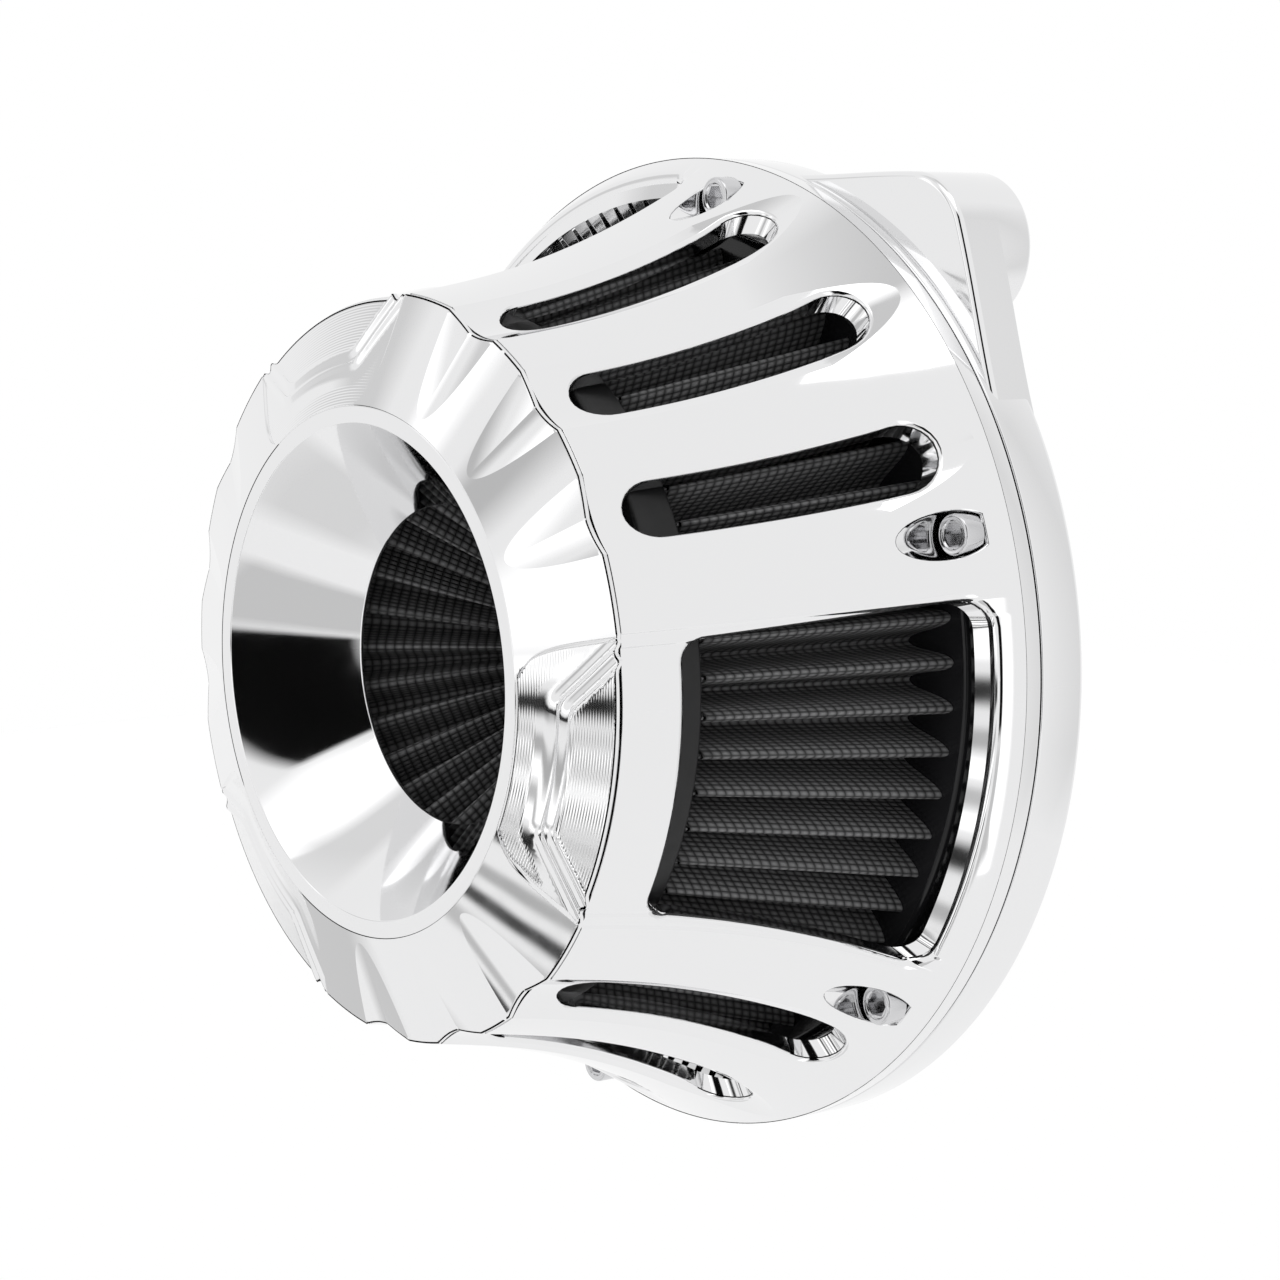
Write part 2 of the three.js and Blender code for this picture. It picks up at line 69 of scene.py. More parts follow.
# Cover
# Height and radius of points along the bell's outside
BELL_POINTS = [(NOSE_HEIGHT, NOSE_RADIUS), (84.0, 66.3), (74.0, 68.1), (62.0, 70.9), (50.0, 74.9),
               (40.0, 79.6), (32.0, 83.4), (26.0, 86.8), (FLANGE_CREASE, FLANGE_RADIUS)]
BELL_ORDER = 4
SHELL_WALL = 4.3
LIP_RADIUS, LIP_TOP, LIP_REAR = 47.5, 82.0, 79.0
SPIGOT_BORE, STACK_SEAT = 61.5, 86.2
# Sections, here and below, are rows of (radius, height, rounding)
COVER_LIP = [(61.6, 84.0, 0), (61.2, LIP_REAR, 1.5), (LIP_RADIUS, LIP_REAR, 0.3),
             (LIP_RADIUS, LIP_TOP, 0.3), (SPIGOT_BORE, LIP_TOP, 0)]
SLOT = dict(half=4.2, front=80.5, rear=28.5, roll=0.7)
TROUGH = dict(half=6.1, rear=22.9, taper=15.1, rear_depth=1.5, nose_depth=1.85)
WINDOW = dict(front_half=21.0, rear_half=22.5, front=75.0, rear=26.0, corner=4.5, roll=1.5)
PANEL_LINES = (22.5, 20.6)  # angles of its two steps from the middle of the window
PANEL_STEP = dict(depth=0.5, width=0.5)
PANEL_FADE = (22.5, 30.0)
NOSE_ROLL = 0.05
RECESS = dict(circle=84.3, radius=4.05, seat=25.0, roll=0.35)
BOSS = dict(core=2.0, reach=6.0, thickness=4.6, fade=32.0, top=44.0)
CAVITY_RIM = (80.8, 18.4)
FLANGE_BAND = [(*CAVITY_RIM, 0), (CAVITY_RIM[0], FLANGE_REAR, 0.2), (FLANGE_RADIUS, FLANGE_REAR, 0.5),
               (FLANGE_RADIUS, FLANGE_CREASE, 0)]

# Velocity stack
STACK_RADIUS, STACK_HEIGHT = 65.7, 87.1
STACK_ROLL = 0.05  # rounding of its outer edge
SEAM_HEIGHT = 86.45  # where it meets the cover
RIM_RADIUS = 46.5
MOUTH_RADIUS = 43.4
THROAT_RADIUS, THROAT_HEIGHT = 27.9, 74.5
SPIGOT_RADIUS = 61.2
FLUTE = dict(tip=48.2, half=6.0, spread=0.5, notch=1.85)
POCKET = dict(half=22.3, narrowing=6.3, ease=2.7, notch=1.25, edge=0.8)
RIBS = dict(start=54.0, bend=12.5, rim=21.5, spacing=2.1, width=0.6, height=0.95, blend=1.6)
FLOOR_MARKS = (-2.6, 3.2)  # how far from the first rib the machined floors begin
FUNNEL_LIP = (29.0, 74.3, 0)
STACK_BACK = [FUNNEL_LIP, (30.3, 74.5, 0.8), (42.0, 78.5, 2.0), (46.5, 82.3, 0.5),
              (SPIGOT_RADIUS, 82.3, 0.3), (SPIGOT_RADIUS, 86.8, 0)]
STACK_FRONT = [(RIM_RADIUS, DEPTH - 0.35, 0), (RIM_RADIUS, DEPTH, 0.3), (MOUTH_RADIUS, DEPTH, 0.35),
               (THROAT_RADIUS, THROAT_HEIGHT, 0.6), FUNNEL_LIP]

# Fasteners
COVER_SCREW = dict(circle=84.3, shank=2.0, head=3.6, height=4.0, seat=25.3, length=13.0, key=1.9)
THROTTLE_SCREW = dict(circle=35.0, shank=3.0, head=5.4, height=5.6, seat=11.8, length=11.0,
                      key=2.6)
THROTTLE_SCREW_ANGLES = (60.0, 180.0, 300.0)
HOLE_GAP = 0.3
HOLE_RUNOUT = 1.0  # a blind hole goes this far past its screw
KEY_DEPTH, KEY_POINT = 0.55, 0.65  # of the head: how deep the socket's flats and its point go

# Filter element
OUTER_MEDIA = dict(pleats=60, front=68.6, rear=23.1, front_radius=61.9, rear_radius=74.5,
                   depth=11.0, first=81.1)
INNER_MEDIA = dict(pleats=28, front=72.8, rear=42.6, apex=32.0, spread=0.807, depth=8.0)
SHEET_THICKNESS = 1.1
PLEAT_FLATNESS = 0.35
FRONT_CAP = [(31, 73, 0.3), (37, 73, 1.0), (43, 68, 1.0), (62.8, 68, 0.8), (62.8, 76.5, 0.8),
             (38.5, 76.5, 1.5), (31, 74.2, 0.4)]
REAR_RING = [(60.5, 17.8, 0.4), (77.6, 17.8, 0.8), (77.6, 23, 1.2), (60.5, 23, 0.5)]
INNER_CAP = [(0, 34, 0), (13.5, 34, 0.5), (14.6, 35.5, 0.6), (14.6, 37.4, 0.8), (8.4, 42.4, 1.2),
             (0, 42.4, 0)]

# Backplate
PLATE_REAR, PLATE_FRONT = 7.7, 17.5
BORE, BORE_MOUTH, BORE_EDGE = 25.5, 28.5, 29.2
HUB_RADIUS, HUB_EDGE = 42.0, 41.0  # the hub's two flat faces lie inside its edge
POCKET_INNER, POCKET_OUTER, POCKET_FLOOR = 44.0, 78.0, 11.5
PILOT_INNER, PILOT_OUTER, PILOT_FRONT = 56.0, 60.0, 20.5  # centres the filter's rear ring
RIM_FACE = (79.0, 89.4)  # the front face that the cover screws go into
GROOVE_INNER, GROOVE_OUTER, GROOVE_DEPTH, GROOVE_EDGE = 27.2, 30.0, 2.7, 30.6
PLATE_SECTIONS = [
    [(HUB_EDGE, 0, 0), (HUB_RADIUS, 0, 0.6), (POCKET_INNER, POCKET_FLOOR, 1.5),
     (POCKET_OUTER, POCKET_FLOOR, 1.5), (POCKET_OUTER, PLATE_REAR, 1.0),
     (FLANGE_RADIUS, PLATE_REAR, 1.2), (FLANGE_RADIUS, PLATE_FRONT, 0.35),
     (RIM_FACE[1], PLATE_FRONT, 0)],
    [(RIM_FACE[0], PLATE_FRONT, 0), (PILOT_OUTER, PLATE_FRONT, 0.2), (PILOT_OUTER, PILOT_FRONT, 0.4),
     (PILOT_INNER, PILOT_FRONT, 0.4), (PILOT_INNER, PLATE_FRONT, 0.3), (HUB_EDGE, PLATE_FRONT, 0)],
    [(BORE_EDGE, PLATE_FRONT, 0), (BORE_MOUTH, PLATE_FRONT, 0.5), (BORE, 12, 3.0), (BORE, 0, 0.3),
     (GROOVE_INNER, 0, 0.1), (GROOVE_INNER, GROOVE_DEPTH, 0.4), (GROOVE_OUTER, GROOVE_DEPTH, 0.4),
     (GROOVE_OUTER, 0, 0.1), (GROOVE_EDGE, 0, 0)],
]
EAR = dict(x=55.2, z=73.4, radius=13.0, front=16.5, rear=7.75, hole=4.25, depth=12.0, tangent=89.0)
EAR_BOSS = [(EAR["hole"], EAR["depth"], 0), (EAR["hole"], 0.0, 0.5), (EAR["radius"], 0.0, 0.8),
            (EAR["radius"], EAR["rear"] + 0.2, 0)]
EAR_ROLL = 1.3
EAR_SAG = 1.4  # how far its sides curve in between the plate and the boss
SAG_PEAK = 6.75  # brings the highest point of t * (1 - t)^2 to 1
EAR_START = 0.3  # share of each side that is left out, inside the plate
EAR_HUB = (50.5, 67.1)  # inside the plate, where the web's faces run together

# Finish and studio
RING_PITCH, RING_DEPTH = 0.5, 0.014
WAVINESS = 0.03
WEAVE_PITCH = (1.2, 1.7)
CENTRE = Vector((0.0, -0.044, 0.0))
CAMERA_ANGLE = (52.91, 6.73)
CAMERA_DISTANCE = 0.5968
LENS = 91.7
SHIFT = (0.040, 0.0097)
FLOOR_SIZE, FLOOR_HEIGHT, FLOOR_GLOW = (12.0, 12.0), -0.95, 0.38
CARDS = [
    # name, azimuth, elevation, distance, (width, height), brightness, width of its fading edge
    ("black_flag", 43.0, 13.5, 1.2, (0.58, 1.32), 0.004, 0.07),
    ("grey_flag_low", 45.0, -28.0, 1.3, (0.76, 0.68), 0.66, 0.12),
    ("white_strip_right", 63.0, -20.0, 1.3, (0.30, 2.0), 1.5, 0.09),
    ("white_panel_high", 14.0, 58.0, 1.3, (0.96, 0.80), 1.6, 0.24),
    ("grey_panel_top", -10.0, 81.0, 1.4, (1.0, 0.7), 0.70, 0.25),
    ("grey_panel_left_high", -32.0, 64.0, 1.4, (1.1, 0.7), 0.82, 0.20),
    ("grey_panel_left_low", -30.0, -67.0, 0.9, (0.9, 0.5), 0.80, 0.18),
    ("grey_panel_low_left", -78.0, -30.0, 1.4, (0.5, 0.6), 0.68, 0.14),
    ("grey_panel_behind", 142.0, 10.0, 1.4, (0.90, 2.4), 0.82, 0.50),
    ("grey_strip_far_left", -60.0, 20.0, 1.4, (0.42, 0.8), 0.75, 0.12),
    ("white_strip_left", -40.0, 23.0, 1.3, (0.24, 0.7), 1.4, 0.08),
    ("grey_strip_left", -25.0, 17.0, 1.3, (0.24, 0.65), 0.58, 0.08),
    ("white_strip_front", -13.0, 12.0, 1.35, (0.24, 0.7), 1.35, 0.08),
]
# Low in front of the mouth: elevation, height and brightness of each strip, seen in the cap
FRONT_STRIPS = [(-3.0, 0.08, 1.5), (-7.6, 0.085, 0.02), (-12.5, 0.07, 0.5), (-15.5, 0.06, 1.6),
                (-18.5, 0.06, 0.6), (-21.0, 0.05, 1.6), (-24.5, 0.085, 0.02), (-30.0, 0.05, 0.5),
                (-33.0, 0.05, 0.05), (-36.0, 0.06, 0.6)]
STRIP = dict(azimuth=-14.0, distance=1.3, width=1.1, fade=0.3)
TOP_LAMP = (20.0, 65.0, 1.5, (1.2, 0.9), 3.0)  # azimuth, elevation, distance, size, power

WINDOW_ANGLES = [WINDOW_ANGLE + SECTOR * i for i in range(3)]
COVER_SCREW_ANGLES = [w + offset for w in WINDOW_ANGLES for offset in SCREW_OFFSETS]


# Shapes

def place(radius, angle, height):
    """Points in metres, from cylindrical coordinates in millimetres and degrees."""
    radius, angle, height = np.broadcast_arrays(radius, angle, height)
    turn = np.radians(angle)
    return MM * np.stack([radius * np.sin(turn), -height, radius * np.cos(turn)], axis=-1)


def unit(vectors):
    lengths = np.linalg.norm(vectors, axis=-1, keepdims=True)
    return vectors / np.maximum(lengths, 1e-12)


def share(value, start, end):
    """How far value is on its way from start to end, held between 0 and 1."""
    return np.clip((value - start) / (end - start), 0.0, 1.0)


def smooth(value):
    held = np.clip(value, 0.0, 1.0)
    return held * held * (3.0 - 2.0 * held)


class Shape:
    """Collects surfaces, then welds them into one mesh that keeps each corner's own normal."""

    def __init__(self):
        self.points, self.normals, self.uvs, self.marks, self.faces = [], [], [], [], []
        self.count = 0

    def add(self, points, normals, faces, uvs=None, marks=None):
        points = np.reshape(points, (-1, 3))
        size = len(points)
        self.points.append(points)
        self.normals.append(unit(np.reshape(normals, (-1, 3))))
        self.uvs.append(np.zeros((size, 2)) if uvs is None else np.reshape(uvs, (-1, 2)))
        self.marks.append(np.zeros(size) if marks is None else np.ravel(marks))
        self.faces.append(np.asarray(faces) + self.count)
        self.count += size

    def add_grid(self, points, normals=None, uvs=None):
        """Triangles between neighbouring rows and columns of points."""
        normals = grid_normals(points) if normals is None else normals
        rows, columns = points.shape[:2]
        index = np.arange(rows * columns).reshape(rows, columns)
        a, b, c, d = index[:-1, :-1], index[1:, :-1], index[1:, 1:], index[:-1, 1:]
        faces = np.concatenate([np.stack([a, b, c], axis=-1), np.stack([a, c, d], axis=-1)])
        self.add(points, normals, faces.reshape(-1, 3), uvs)

    def add_strip(self, first, second, normal=None):
        """Band between two lines of points, with a normal for each place along it or for all."""
        rows = np.stack([first, second])
        self.add_grid(rows, normal if normal is None else np.broadcast_to(normal, rows.shape))

    def add_lathe(self, path, angles, axis=(0.0, 0.0)):
        """Path of [radius, height] turned round an axis. It faces the right of its travel."""
        for radii, heights, across, along in smooth_runs(np.array(path, float)):
            points = place(radii[:, None], angles[None, :], heights[:, None])
            normals = place(across[:, None], angles[None, :], along[:, None])
            self.add_grid(points + MM * np.array([axis[0], 0.0, axis[1]]), normals)

    def add_turned(self, other, angle):
        """Another shape's surfaces, turned clockwise round the part's axis."""
        c, s = math.cos(math.radians(angle)), math.sin(math.radians(angle))
        turn = np.array([[c, 0.0, -s], [0.0, 1.0, 0.0], [s, 0.0, c]])
        points, normals, faces, uvs, marks = (np.concatenate(parts) for parts in (
            other.points, other.normals, other.faces, other.uvs, other.marks))
        self.add(points @ turn, normals @ turn, faces, uvs, marks)

    def build(self, name):
        points, normals = np.concatenate(self.points), np.concatenate(self.normals)
        keys = np.round(points / (0.0005 * MM)).astype(np.int64)
        _, first, welded = np.unique(keys, axis=0, return_index=True, return_inverse=True)
        faces = facing(np.concatenate(self.faces), points, normals)
        ends = welded.ravel()[faces]
        whole = (ends[:, 0] != ends[:, 1]) & (ends[:, 1] != ends[:, 2]) & (ends[:, 2] != ends[:, 0])
        corners = faces[whole].ravel()
        mesh = bpy.data.meshes.new(name)
        mesh.from_pydata(points[first].tolist(), [], ends[whole].tolist())
        uvs = np.concatenate(self.uvs)[corners].ravel()
        mesh.uv_layers.new(name="UVMap").data.foreach_set("uv", uvs)
        marks = mesh.attributes.new("machined", "FLOAT", "POINT")
        marks.data.foreach_set("value", np.concatenate(self.marks)[first])
        mesh.shade_smooth()
        mesh.normals_split_custom_set(normals[corners].tolist())
        return put_in_scene(name, mesh)


def put_in_scene(name, data):
    piece = bpy.data.objects.new(name, data)
    bpy.context.scene.collection.objects.link(piece)
    return piece


def facing(faces, points, normals):
    """The faces, turned so that their winding agrees with their corner normals."""
    a, b, c = (points[faces[:, i]] for i in range(3))
    against = (np.cross(b - a, c - a) * normals[faces].sum(axis=1)).sum(axis=1) < 0.0
    return np.where(against[:, None], faces[:, ::-1], faces)


def grid_normals(points):
    down = np.gradient(points, axis=0)
    across = np.gradient(points, axis=1)
    if np.allclose(points[:, 0], points[:, -1]):
        ends = points[:, 1] - points[:, -2]
        across[:, 0] = ends
        across[:, -1] = ends
    return unit(np.cross(across, down))


def smooth_runs(path):
    """Parts of a path without sharp corners, each with its points and its normals."""
    steps = unit(np.diff(path, axis=0))
    faces = np.stack([steps[:, 1], -steps[:, 0]], axis=-1)
    bends = np.degrees(np.arccos(np.clip((steps[1:] * steps[:-1]).sum(axis=1), -1.0, 1.0)))
    breaks = [0] + [i + 1 for i in np.flatnonzero(bends > SHARP_BEND)] + [len(steps)]
    for start, end in zip(breaks[:-1], breaks[1:]):
        part = faces[start:end]
        joined = np.concatenate([part[:1], part[1:] + part[:-1], part[-1:]])
        points = path[start:end + 1]
        yield points[:, 0], points[:, 1], unit(joined)[:, 0], unit(joined)[:, 1]


def rounded(corners, steps=6, closed=False):
    """Path through (across, along, rounding) corners, each replaced by an arc."""
    corners = np.array(corners, float)
    path = []
    last = len(corners) - 1
    for i, (across, along, radius) in enumerate(corners):
        corner = np.array([across, along])
        if radius == 0.0 or (not closed and i in (0, last)):
            path.append(corner)
            continue
        before = unit(corners[i - 1, :2] - corner)
        after = unit(corners[(i + 1) % len(corners), :2] - corner)
        half = 0.5 * math.acos(float(np.clip(before @ after, -1.0, 1.0)))
        start = corner + before * radius / math.tan(half)
        end = corner + after * radius / math.tan(half)
        centre = corner + unit(before + after) * radius / math.sin(half)
        sweep = math.pi - 2.0 * half
        first, second = start - centre, end - centre
        for k in range(steps + 1):
            t = k / steps
            arm = first * math.sin((1.0 - t) * sweep) + second * math.sin(t * sweep)
            path.append(centre + arm / math.sin(sweep))
    return path


def circle_angles(count):
    return np.linspace(0.0, 360.0, count + 1)


def columns(a, b):
    """Points of a flat line, from their two coordinates. Either may be a single number."""
    return np.stack(np.broadcast_arrays(a, b), axis=-1)


def closed(loop):
    return np.concatenate([loop, loop[:1]])


# Flat outlines, in the coordinates of a sheet

def rounded_loop(corners, radius, steps=14):
    """Closed outline at a distance round the corners, which run anticlockwise."""
    corners = np.array(corners, float)
    loop = []
    for i, corner in enumerate(corners):
        before = unit(corner - corners[i - 1])
        after = unit(corners[(i + 1) % len(corners)] - corner)
        start = math.atan2(-before[0], before[1])
        end = math.atan2(-after[0], after[1])
        sweep = (end - start) % (2.0 * math.pi)
        count = max(2, round(steps * sweep / math.pi))
        for k in range(count + 1):
            turn = start + sweep * k / count
            loop.append(corner + radius * np.array([math.cos(turn), math.sin(turn)]))
    return subdivided(np.array(loop), 1.6)


def subdivided(loop, longest):
    """The closed loop with its long sides divided."""
    result = []
    for a, b in zip(loop, np.roll(loop, -1, axis=0)):
        count = max(1, math.ceil(np.linalg.norm(b - a) / longest))
        result.extend(a + (b - a) * k / count for k in range(count))
    return np.array(result)


def polygon_distance(points, corners):
    """Signed distance of points from a closed polygon, negative inside."""
    points = np.asarray(points, float)
    nearest = np.full(len(points), np.inf)
    inside = np.zeros(len(points), bool)
    for a, b in zip(corners, np.roll(corners, -1, axis=0)):
        edge = b - a
        along = np.clip((points - a) @ edge / max(edge @ edge, 1e-12), 0.0, 1.0)
        nearest = np.minimum(nearest, np.linalg.norm(points - a - along[:, None] * edge, axis=1))
        crosses = (a[1] > points[:, 1]) != (b[1] > points[:, 1])
        if abs(edge[1]) > 1e-12:
            inside ^= crosses & (points[:, 0] < a[0] + (points[:, 1] - a[1]) * edge[0] / edge[1])
    return np.where(inside, -nearest, nearest)


def triangulate(lines, spacing, low, high):
    """Points and triangles of a rectangle, with the given lines among the triangle edges."""
    columns = np.linspace(low[0], high[0], round((high[0] - low[0]) / spacing[0]) + 1)
    rows = np.linspace(low[1], high[1], round((high[1] - low[1]) / spacing[1]) + 1)
    grid = np.stack(np.meshgrid(columns, rows), axis=-1).reshape(-1, 2)
    traced = np.concatenate(lines)
    border = np.isin(grid[:, 0], (low[0], high[0]))
    room = np.array([np.min(np.abs(traced - p).max(axis=1)) for p in grid])
    grid = grid[room > np.where(border, 0.05, 0.4) * min(spacing)]
    edges, start = [], len(grid)
    for line in lines:
        edges.extend((start + i, start + i + 1) for i in range(len(line) - 1))
        start += len(line)
    points = [Vector(p) for p in np.concatenate([grid, traced])]
    result = delaunay_2d_cdt(points, edges, [], 0, 1e-5, False)
    return np.array([tuple(p) for p in result[0]]), np.array(result[2])


def add_sheet(shape, surface, points, triangles, outward, marks=None):
    """Surface over the triangles. Each corner takes its normal from just inside its triangle."""
    corners = points[triangles]
    inset = corners + 0.06 * (corners.mean(axis=1, keepdims=True) - corners)
    x, y = inset[..., 0].ravel(), inset[..., 1].ravel()
    step = 2e-4
    across = surface(x + step, y) - surface(x - step, y)
    along = surface(x, y + step) - surface(x, y - step)
    normals = outward * unit(np.cross(across, along))
    places = surface(corners[..., 0].ravel(), corners[..., 1].ravel())
    shape.add(places, normals, np.arange(len(places)).reshape(-1, 3), None, marks)


# Cover shell

BELL = np.polynomial.Polynomial.fit(*zip(*BELL_POINTS), BELL_ORDER)
BELL_SLOPE = BELL.deriv()
DEGREE = 1.35  # sheet width of one degree, near its true length in millimetres


def bell_point(x, height, depth):
    """Point at a depth under the bell, on the sheet's own coordinates round the window."""
    slope = BELL_SLOPE(height)
    length = np.sqrt(1.0 + slope ** 2)
    return BELL(height) - depth / length, x / DEGREE, height + depth * slope / length


def slot_skeletons():
    radius = SLOT["half"] * DEGREE
    ends = SLOT["rear"] + radius, SLOT["front"] - radius
    return [columns(offset * DEGREE, ends) for offset in SLOT_OFFSETS]


def window_skeleton():
    inset = WINDOW["corner"]
    rear, front = WINDOW["rear_half"] * DEGREE - inset, WINDOW["front_half"] * DEGREE - inset
    low, high = WINDOW["rear"] + inset, WINDOW["front"] - inset
    return np.array([(-rear, low), (rear, low), (front, high), (-front, high)])


def recess_loop(offset, grow=0.0):
    """Where the screw's round recess meets the bell, down to the seat."""
    circle, radius = RECESS["circle"], RECESS["radius"] + grow
    seat = RECESS["seat"] - grow
    limit = BELL(seat)
    first = math.acos((limit ** 2 - circle ** 2 - radius ** 2) / (2.0 * circle * radius))
    turns = np.linspace(first, 2.0 * math.pi - first, 30)
    out, side = circle + radius * np.cos(turns), radius * np.sin(turns)
    heights = np.linspace(seat, 60.0, 600)
    height = np.interp(-np.hypot(out, side), -BELL(heights), heights)
    angle = offset + np.degrees(np.arctan2(side, out))
    return subdivided(columns(angle * DEGREE, height)[::-1], 1.2)


def opening_distance(x, height):
    """Distances from the slots, the window and the screw recesses."""
    points = columns(x, height)
    radius = SLOT["half"] * DEGREE
    slots = np.min([polygon_distance(points, s) - radius for s in slot_skeletons()], axis=0)
    window = polygon_distance(points, window_skeleton()) - WINDOW["corner"]
    recesses = np.min([polygon_distance(points, recess_loop(o)) for o in SCREW_OFFSETS], axis=0)
    return slots, window, recesses


def roll_depth(distance, radius):
    """Depth of a quarter-round edge at a distance from an opening."""
    reach = np.clip(radius - distance, 0.0, radius)
    return radius - np.sqrt(np.maximum(radius ** 2 - reach ** 2, 0.0))


def trough_width(height):
    return TROUGH["half"] * np.sqrt(share(height, TROUGH["rear"], TROUGH["rear"] + TROUGH["taper"]))


def trough_depth(x, height):
    growth = (TROUGH["nose_depth"] - TROUGH["rear_depth"]) * share(height, SLOT["rear"], NOSE_HEIGHT)
    deepest = TROUGH["rear_depth"] + growth
    width = trough_width(height)
    depth = np.zeros_like(x)
    for offset in SLOT_OFFSETS:
        across = (x / DEGREE - offset) / np.maximum(width, 1e-3)
        fill = (width / TROUGH["half"]) ** 2
        depth = np.maximum(depth, deepest * fill * (1.0 - across ** 2))
    return depth


def panel_depth(x, height):
    turn = np.abs(x / DEGREE)
    steps = sum(smooth((line - turn) / PANEL_STEP["width"] + 0.5) for line in PANEL_LINES)
    return PANEL_STEP["depth"] * steps * smooth(share(height, *PANEL_FADE))


def cover_outside(x, height):
    """Outside of one sector of the cover, with its window at the top."""
    depth = trough_depth(x, height) + panel_depth(x, height)
    slots, window, recesses = opening_distance(x, height)
    depth += roll_depth(slots, SLOT["roll"]) + roll_depth(window, WINDOW["roll"])
    depth += roll_depth(recesses, RECESS["roll"]) + roll_depth(NOSE_HEIGHT - height, NOSE_ROLL)
    return place(*bell_point(x, height, depth))


def cover_inside(x, height):
    """Inside of the sector, with a boss behind each cover screw."""
    turn = x / DEGREE
    nearest = np.min([np.abs(turn - offset) for offset in SCREW_OFFSETS], axis=0)
    low = 1.0 - smooth(share(height, BOSS["fade"], BOSS["top"]))
    boss = BOSS["thickness"] * (1.0 - smooth(share(nearest, BOSS["core"], BOSS["reach"]))) * low
    return place(BELL(height) - SHELL_WALL - boss, turn, height)


def roll_offsets(radius):
    return [radius * (1.0 - math.cos(math.radians(18.0 * k))) for k in range(6)]


def opening_loops():
    """Outline of every opening in a sector and the lines of its rounded edge."""
    outlines, recesses, edges = [], [], []
    openings = [(skeleton, SLOT["half"] * DEGREE, SLOT["roll"]) for skeleton in slot_skeletons()]
    openings.append((window_skeleton(), WINDOW["corner"], WINDOW["roll"]))
    for skeleton, radius, roll in openings:
        loops = [rounded_loop(skeleton, radius + d) for d in roll_offsets(roll)]
        outlines.append(loops[0])
        edges.extend(loops)
    for offset in SCREW_OFFSETS:
        loops = [recess_loop(offset, d) for d in (0.0, 0.1, RECESS["roll"])]
        recesses.append(loops[0])
        edges.extend(loops)
    return outlines, recesses, [closed(loop) for loop in edges]


def relief_lines():
    """Edges of the troughs and of the panel's steps."""
    rise = np.concatenate([np.linspace(0.0, 0.08, 5), np.linspace(0.1, 1.0, 14)])
    taper = TROUGH["rear"] + TROUGH["taper"] * rise
    heights = np.concatenate([taper, np.linspace(40.0, NOSE_HEIGHT, 32)])
    widths = trough_width(heights)
    lines = []
    for offset in SLOT_OFFSETS:
        lines.extend(columns((offset + side * widths) * DEGREE, heights) for side in (-1.0, 1.0))
    steps = np.linspace(-0.5, 0.5, 5) * PANEL_STEP["width"]
    rows = np.linspace(PANEL_FADE[0], NOSE_HEIGHT, 46)
    for line in PANEL_LINES:
        for side in (-1.0, 1.0):
            lines.extend(columns(side * (line + step) * DEGREE, rows) for step in steps)
    return lines


def recess_wall(shape, loop, offset):
    """Round wall of a screw recess and the seat under it."""
    edge = cover_outside(*closed(loop).T)
    floor = edge.copy()
    floor[:, 1] = -MM * RECESS["seat"]
    axis = place(RECESS["circle"], offset, RECESS["seat"])
    inward = unit((axis - floor) * np.array([1.0, 0.0, 1.0]))
    shape.add_strip(edge, floor, inward)
    shape.add_strip(floor, axis - inward * MM * COVER_SCREW["shank"], FORWARD)


def opening_wall(shape, loop):
    rows = np.stack([cover_outside(*closed(loop).T), cover_inside(*closed(loop).T)])
    normals = grid_normals(rows)
    towards = np.broadcast_to(rows.mean(axis=(0, 1)), rows.shape) - rows
    flip = np.sign((normals * towards).sum(axis=-1).mean())
    shape.add_grid(rows, normals * flip)


def cover_sector():
    shape = Shape()
    outlines, recesses, edges = opening_loops()
    low = np.array([SECTOR_START * DEGREE, FLANGE_CREASE])
    high = np.array([SECTOR_END * DEGREE, NOSE_HEIGHT])
    border = np.linspace(low[0], high[0], 161)
    nose = [columns(border, NOSE_HEIGHT - d) for d in roll_offsets(NOSE_ROLL)]
    points, triangles = triangulate(edges + relief_lines() + nose, (1.3, 1.5), low, high)
    middles = points[triangles].mean(axis=1)
    slots, window, recess = opening_distance(middles[:, 0], middles[:, 1])
    solid = np.minimum(slots, window) > 0.0
    add_sheet(shape, cover_outside, points, triangles[solid & (recess > 0.0)], -1.0)
    add_sheet(shape, cover_inside, points, triangles[solid], 1.0)
    for loop in outlines:
        opening_wall(shape, loop)
    for loop, offset in zip(recesses, SCREW_OFFSETS):
        recess_wall(shape, loop, offset)
    turns = border / DEGREE
    edge = cover_outside(border, np.full_like(border, NOSE_HEIGHT))
    seat, bore = place(SPIGOT_BORE, turns, STACK_SEAT), place(SPIGOT_BORE, turns, LIP_TOP)
    shape.add_strip(edge, seat)
    shape.add_strip(seat, bore)
    rim = cover_inside(border, np.full_like(border, FLANGE_CREASE))
    shape.add_strip(place(CAVITY_RIM[0], turns, CAVITY_RIM[1]), rim)
    return shape


def three_sectors(sector):
    shape = Shape()
    for angle in WINDOW_ANGLES:
        shape.add_turned(sector, angle)
    return shape


def cover_shell():
    shape = three_sectors(cover_sector())
    for section in (FLANGE_BAND, COVER_LIP):
        shape.add_lathe(rounded(section), circle_angles(360))
    return shape.build("cover_shell_polished")


# Velocity stack

def cone_height(radius):
    return DEPTH + (radius - RIM_RADIUS) * (STACK_HEIGHT - DEPTH) / (STACK_RADIUS - RIM_RADIUS)


def flute_halves(radius):
    """Half angle of a flute at a radius of the cone."""
    along = share(radius, FLUTE["tip"], STACK_RADIUS)
    return FLUTE["half"] * along ** FLUTE["spread"] * STACK_RADIUS / radius


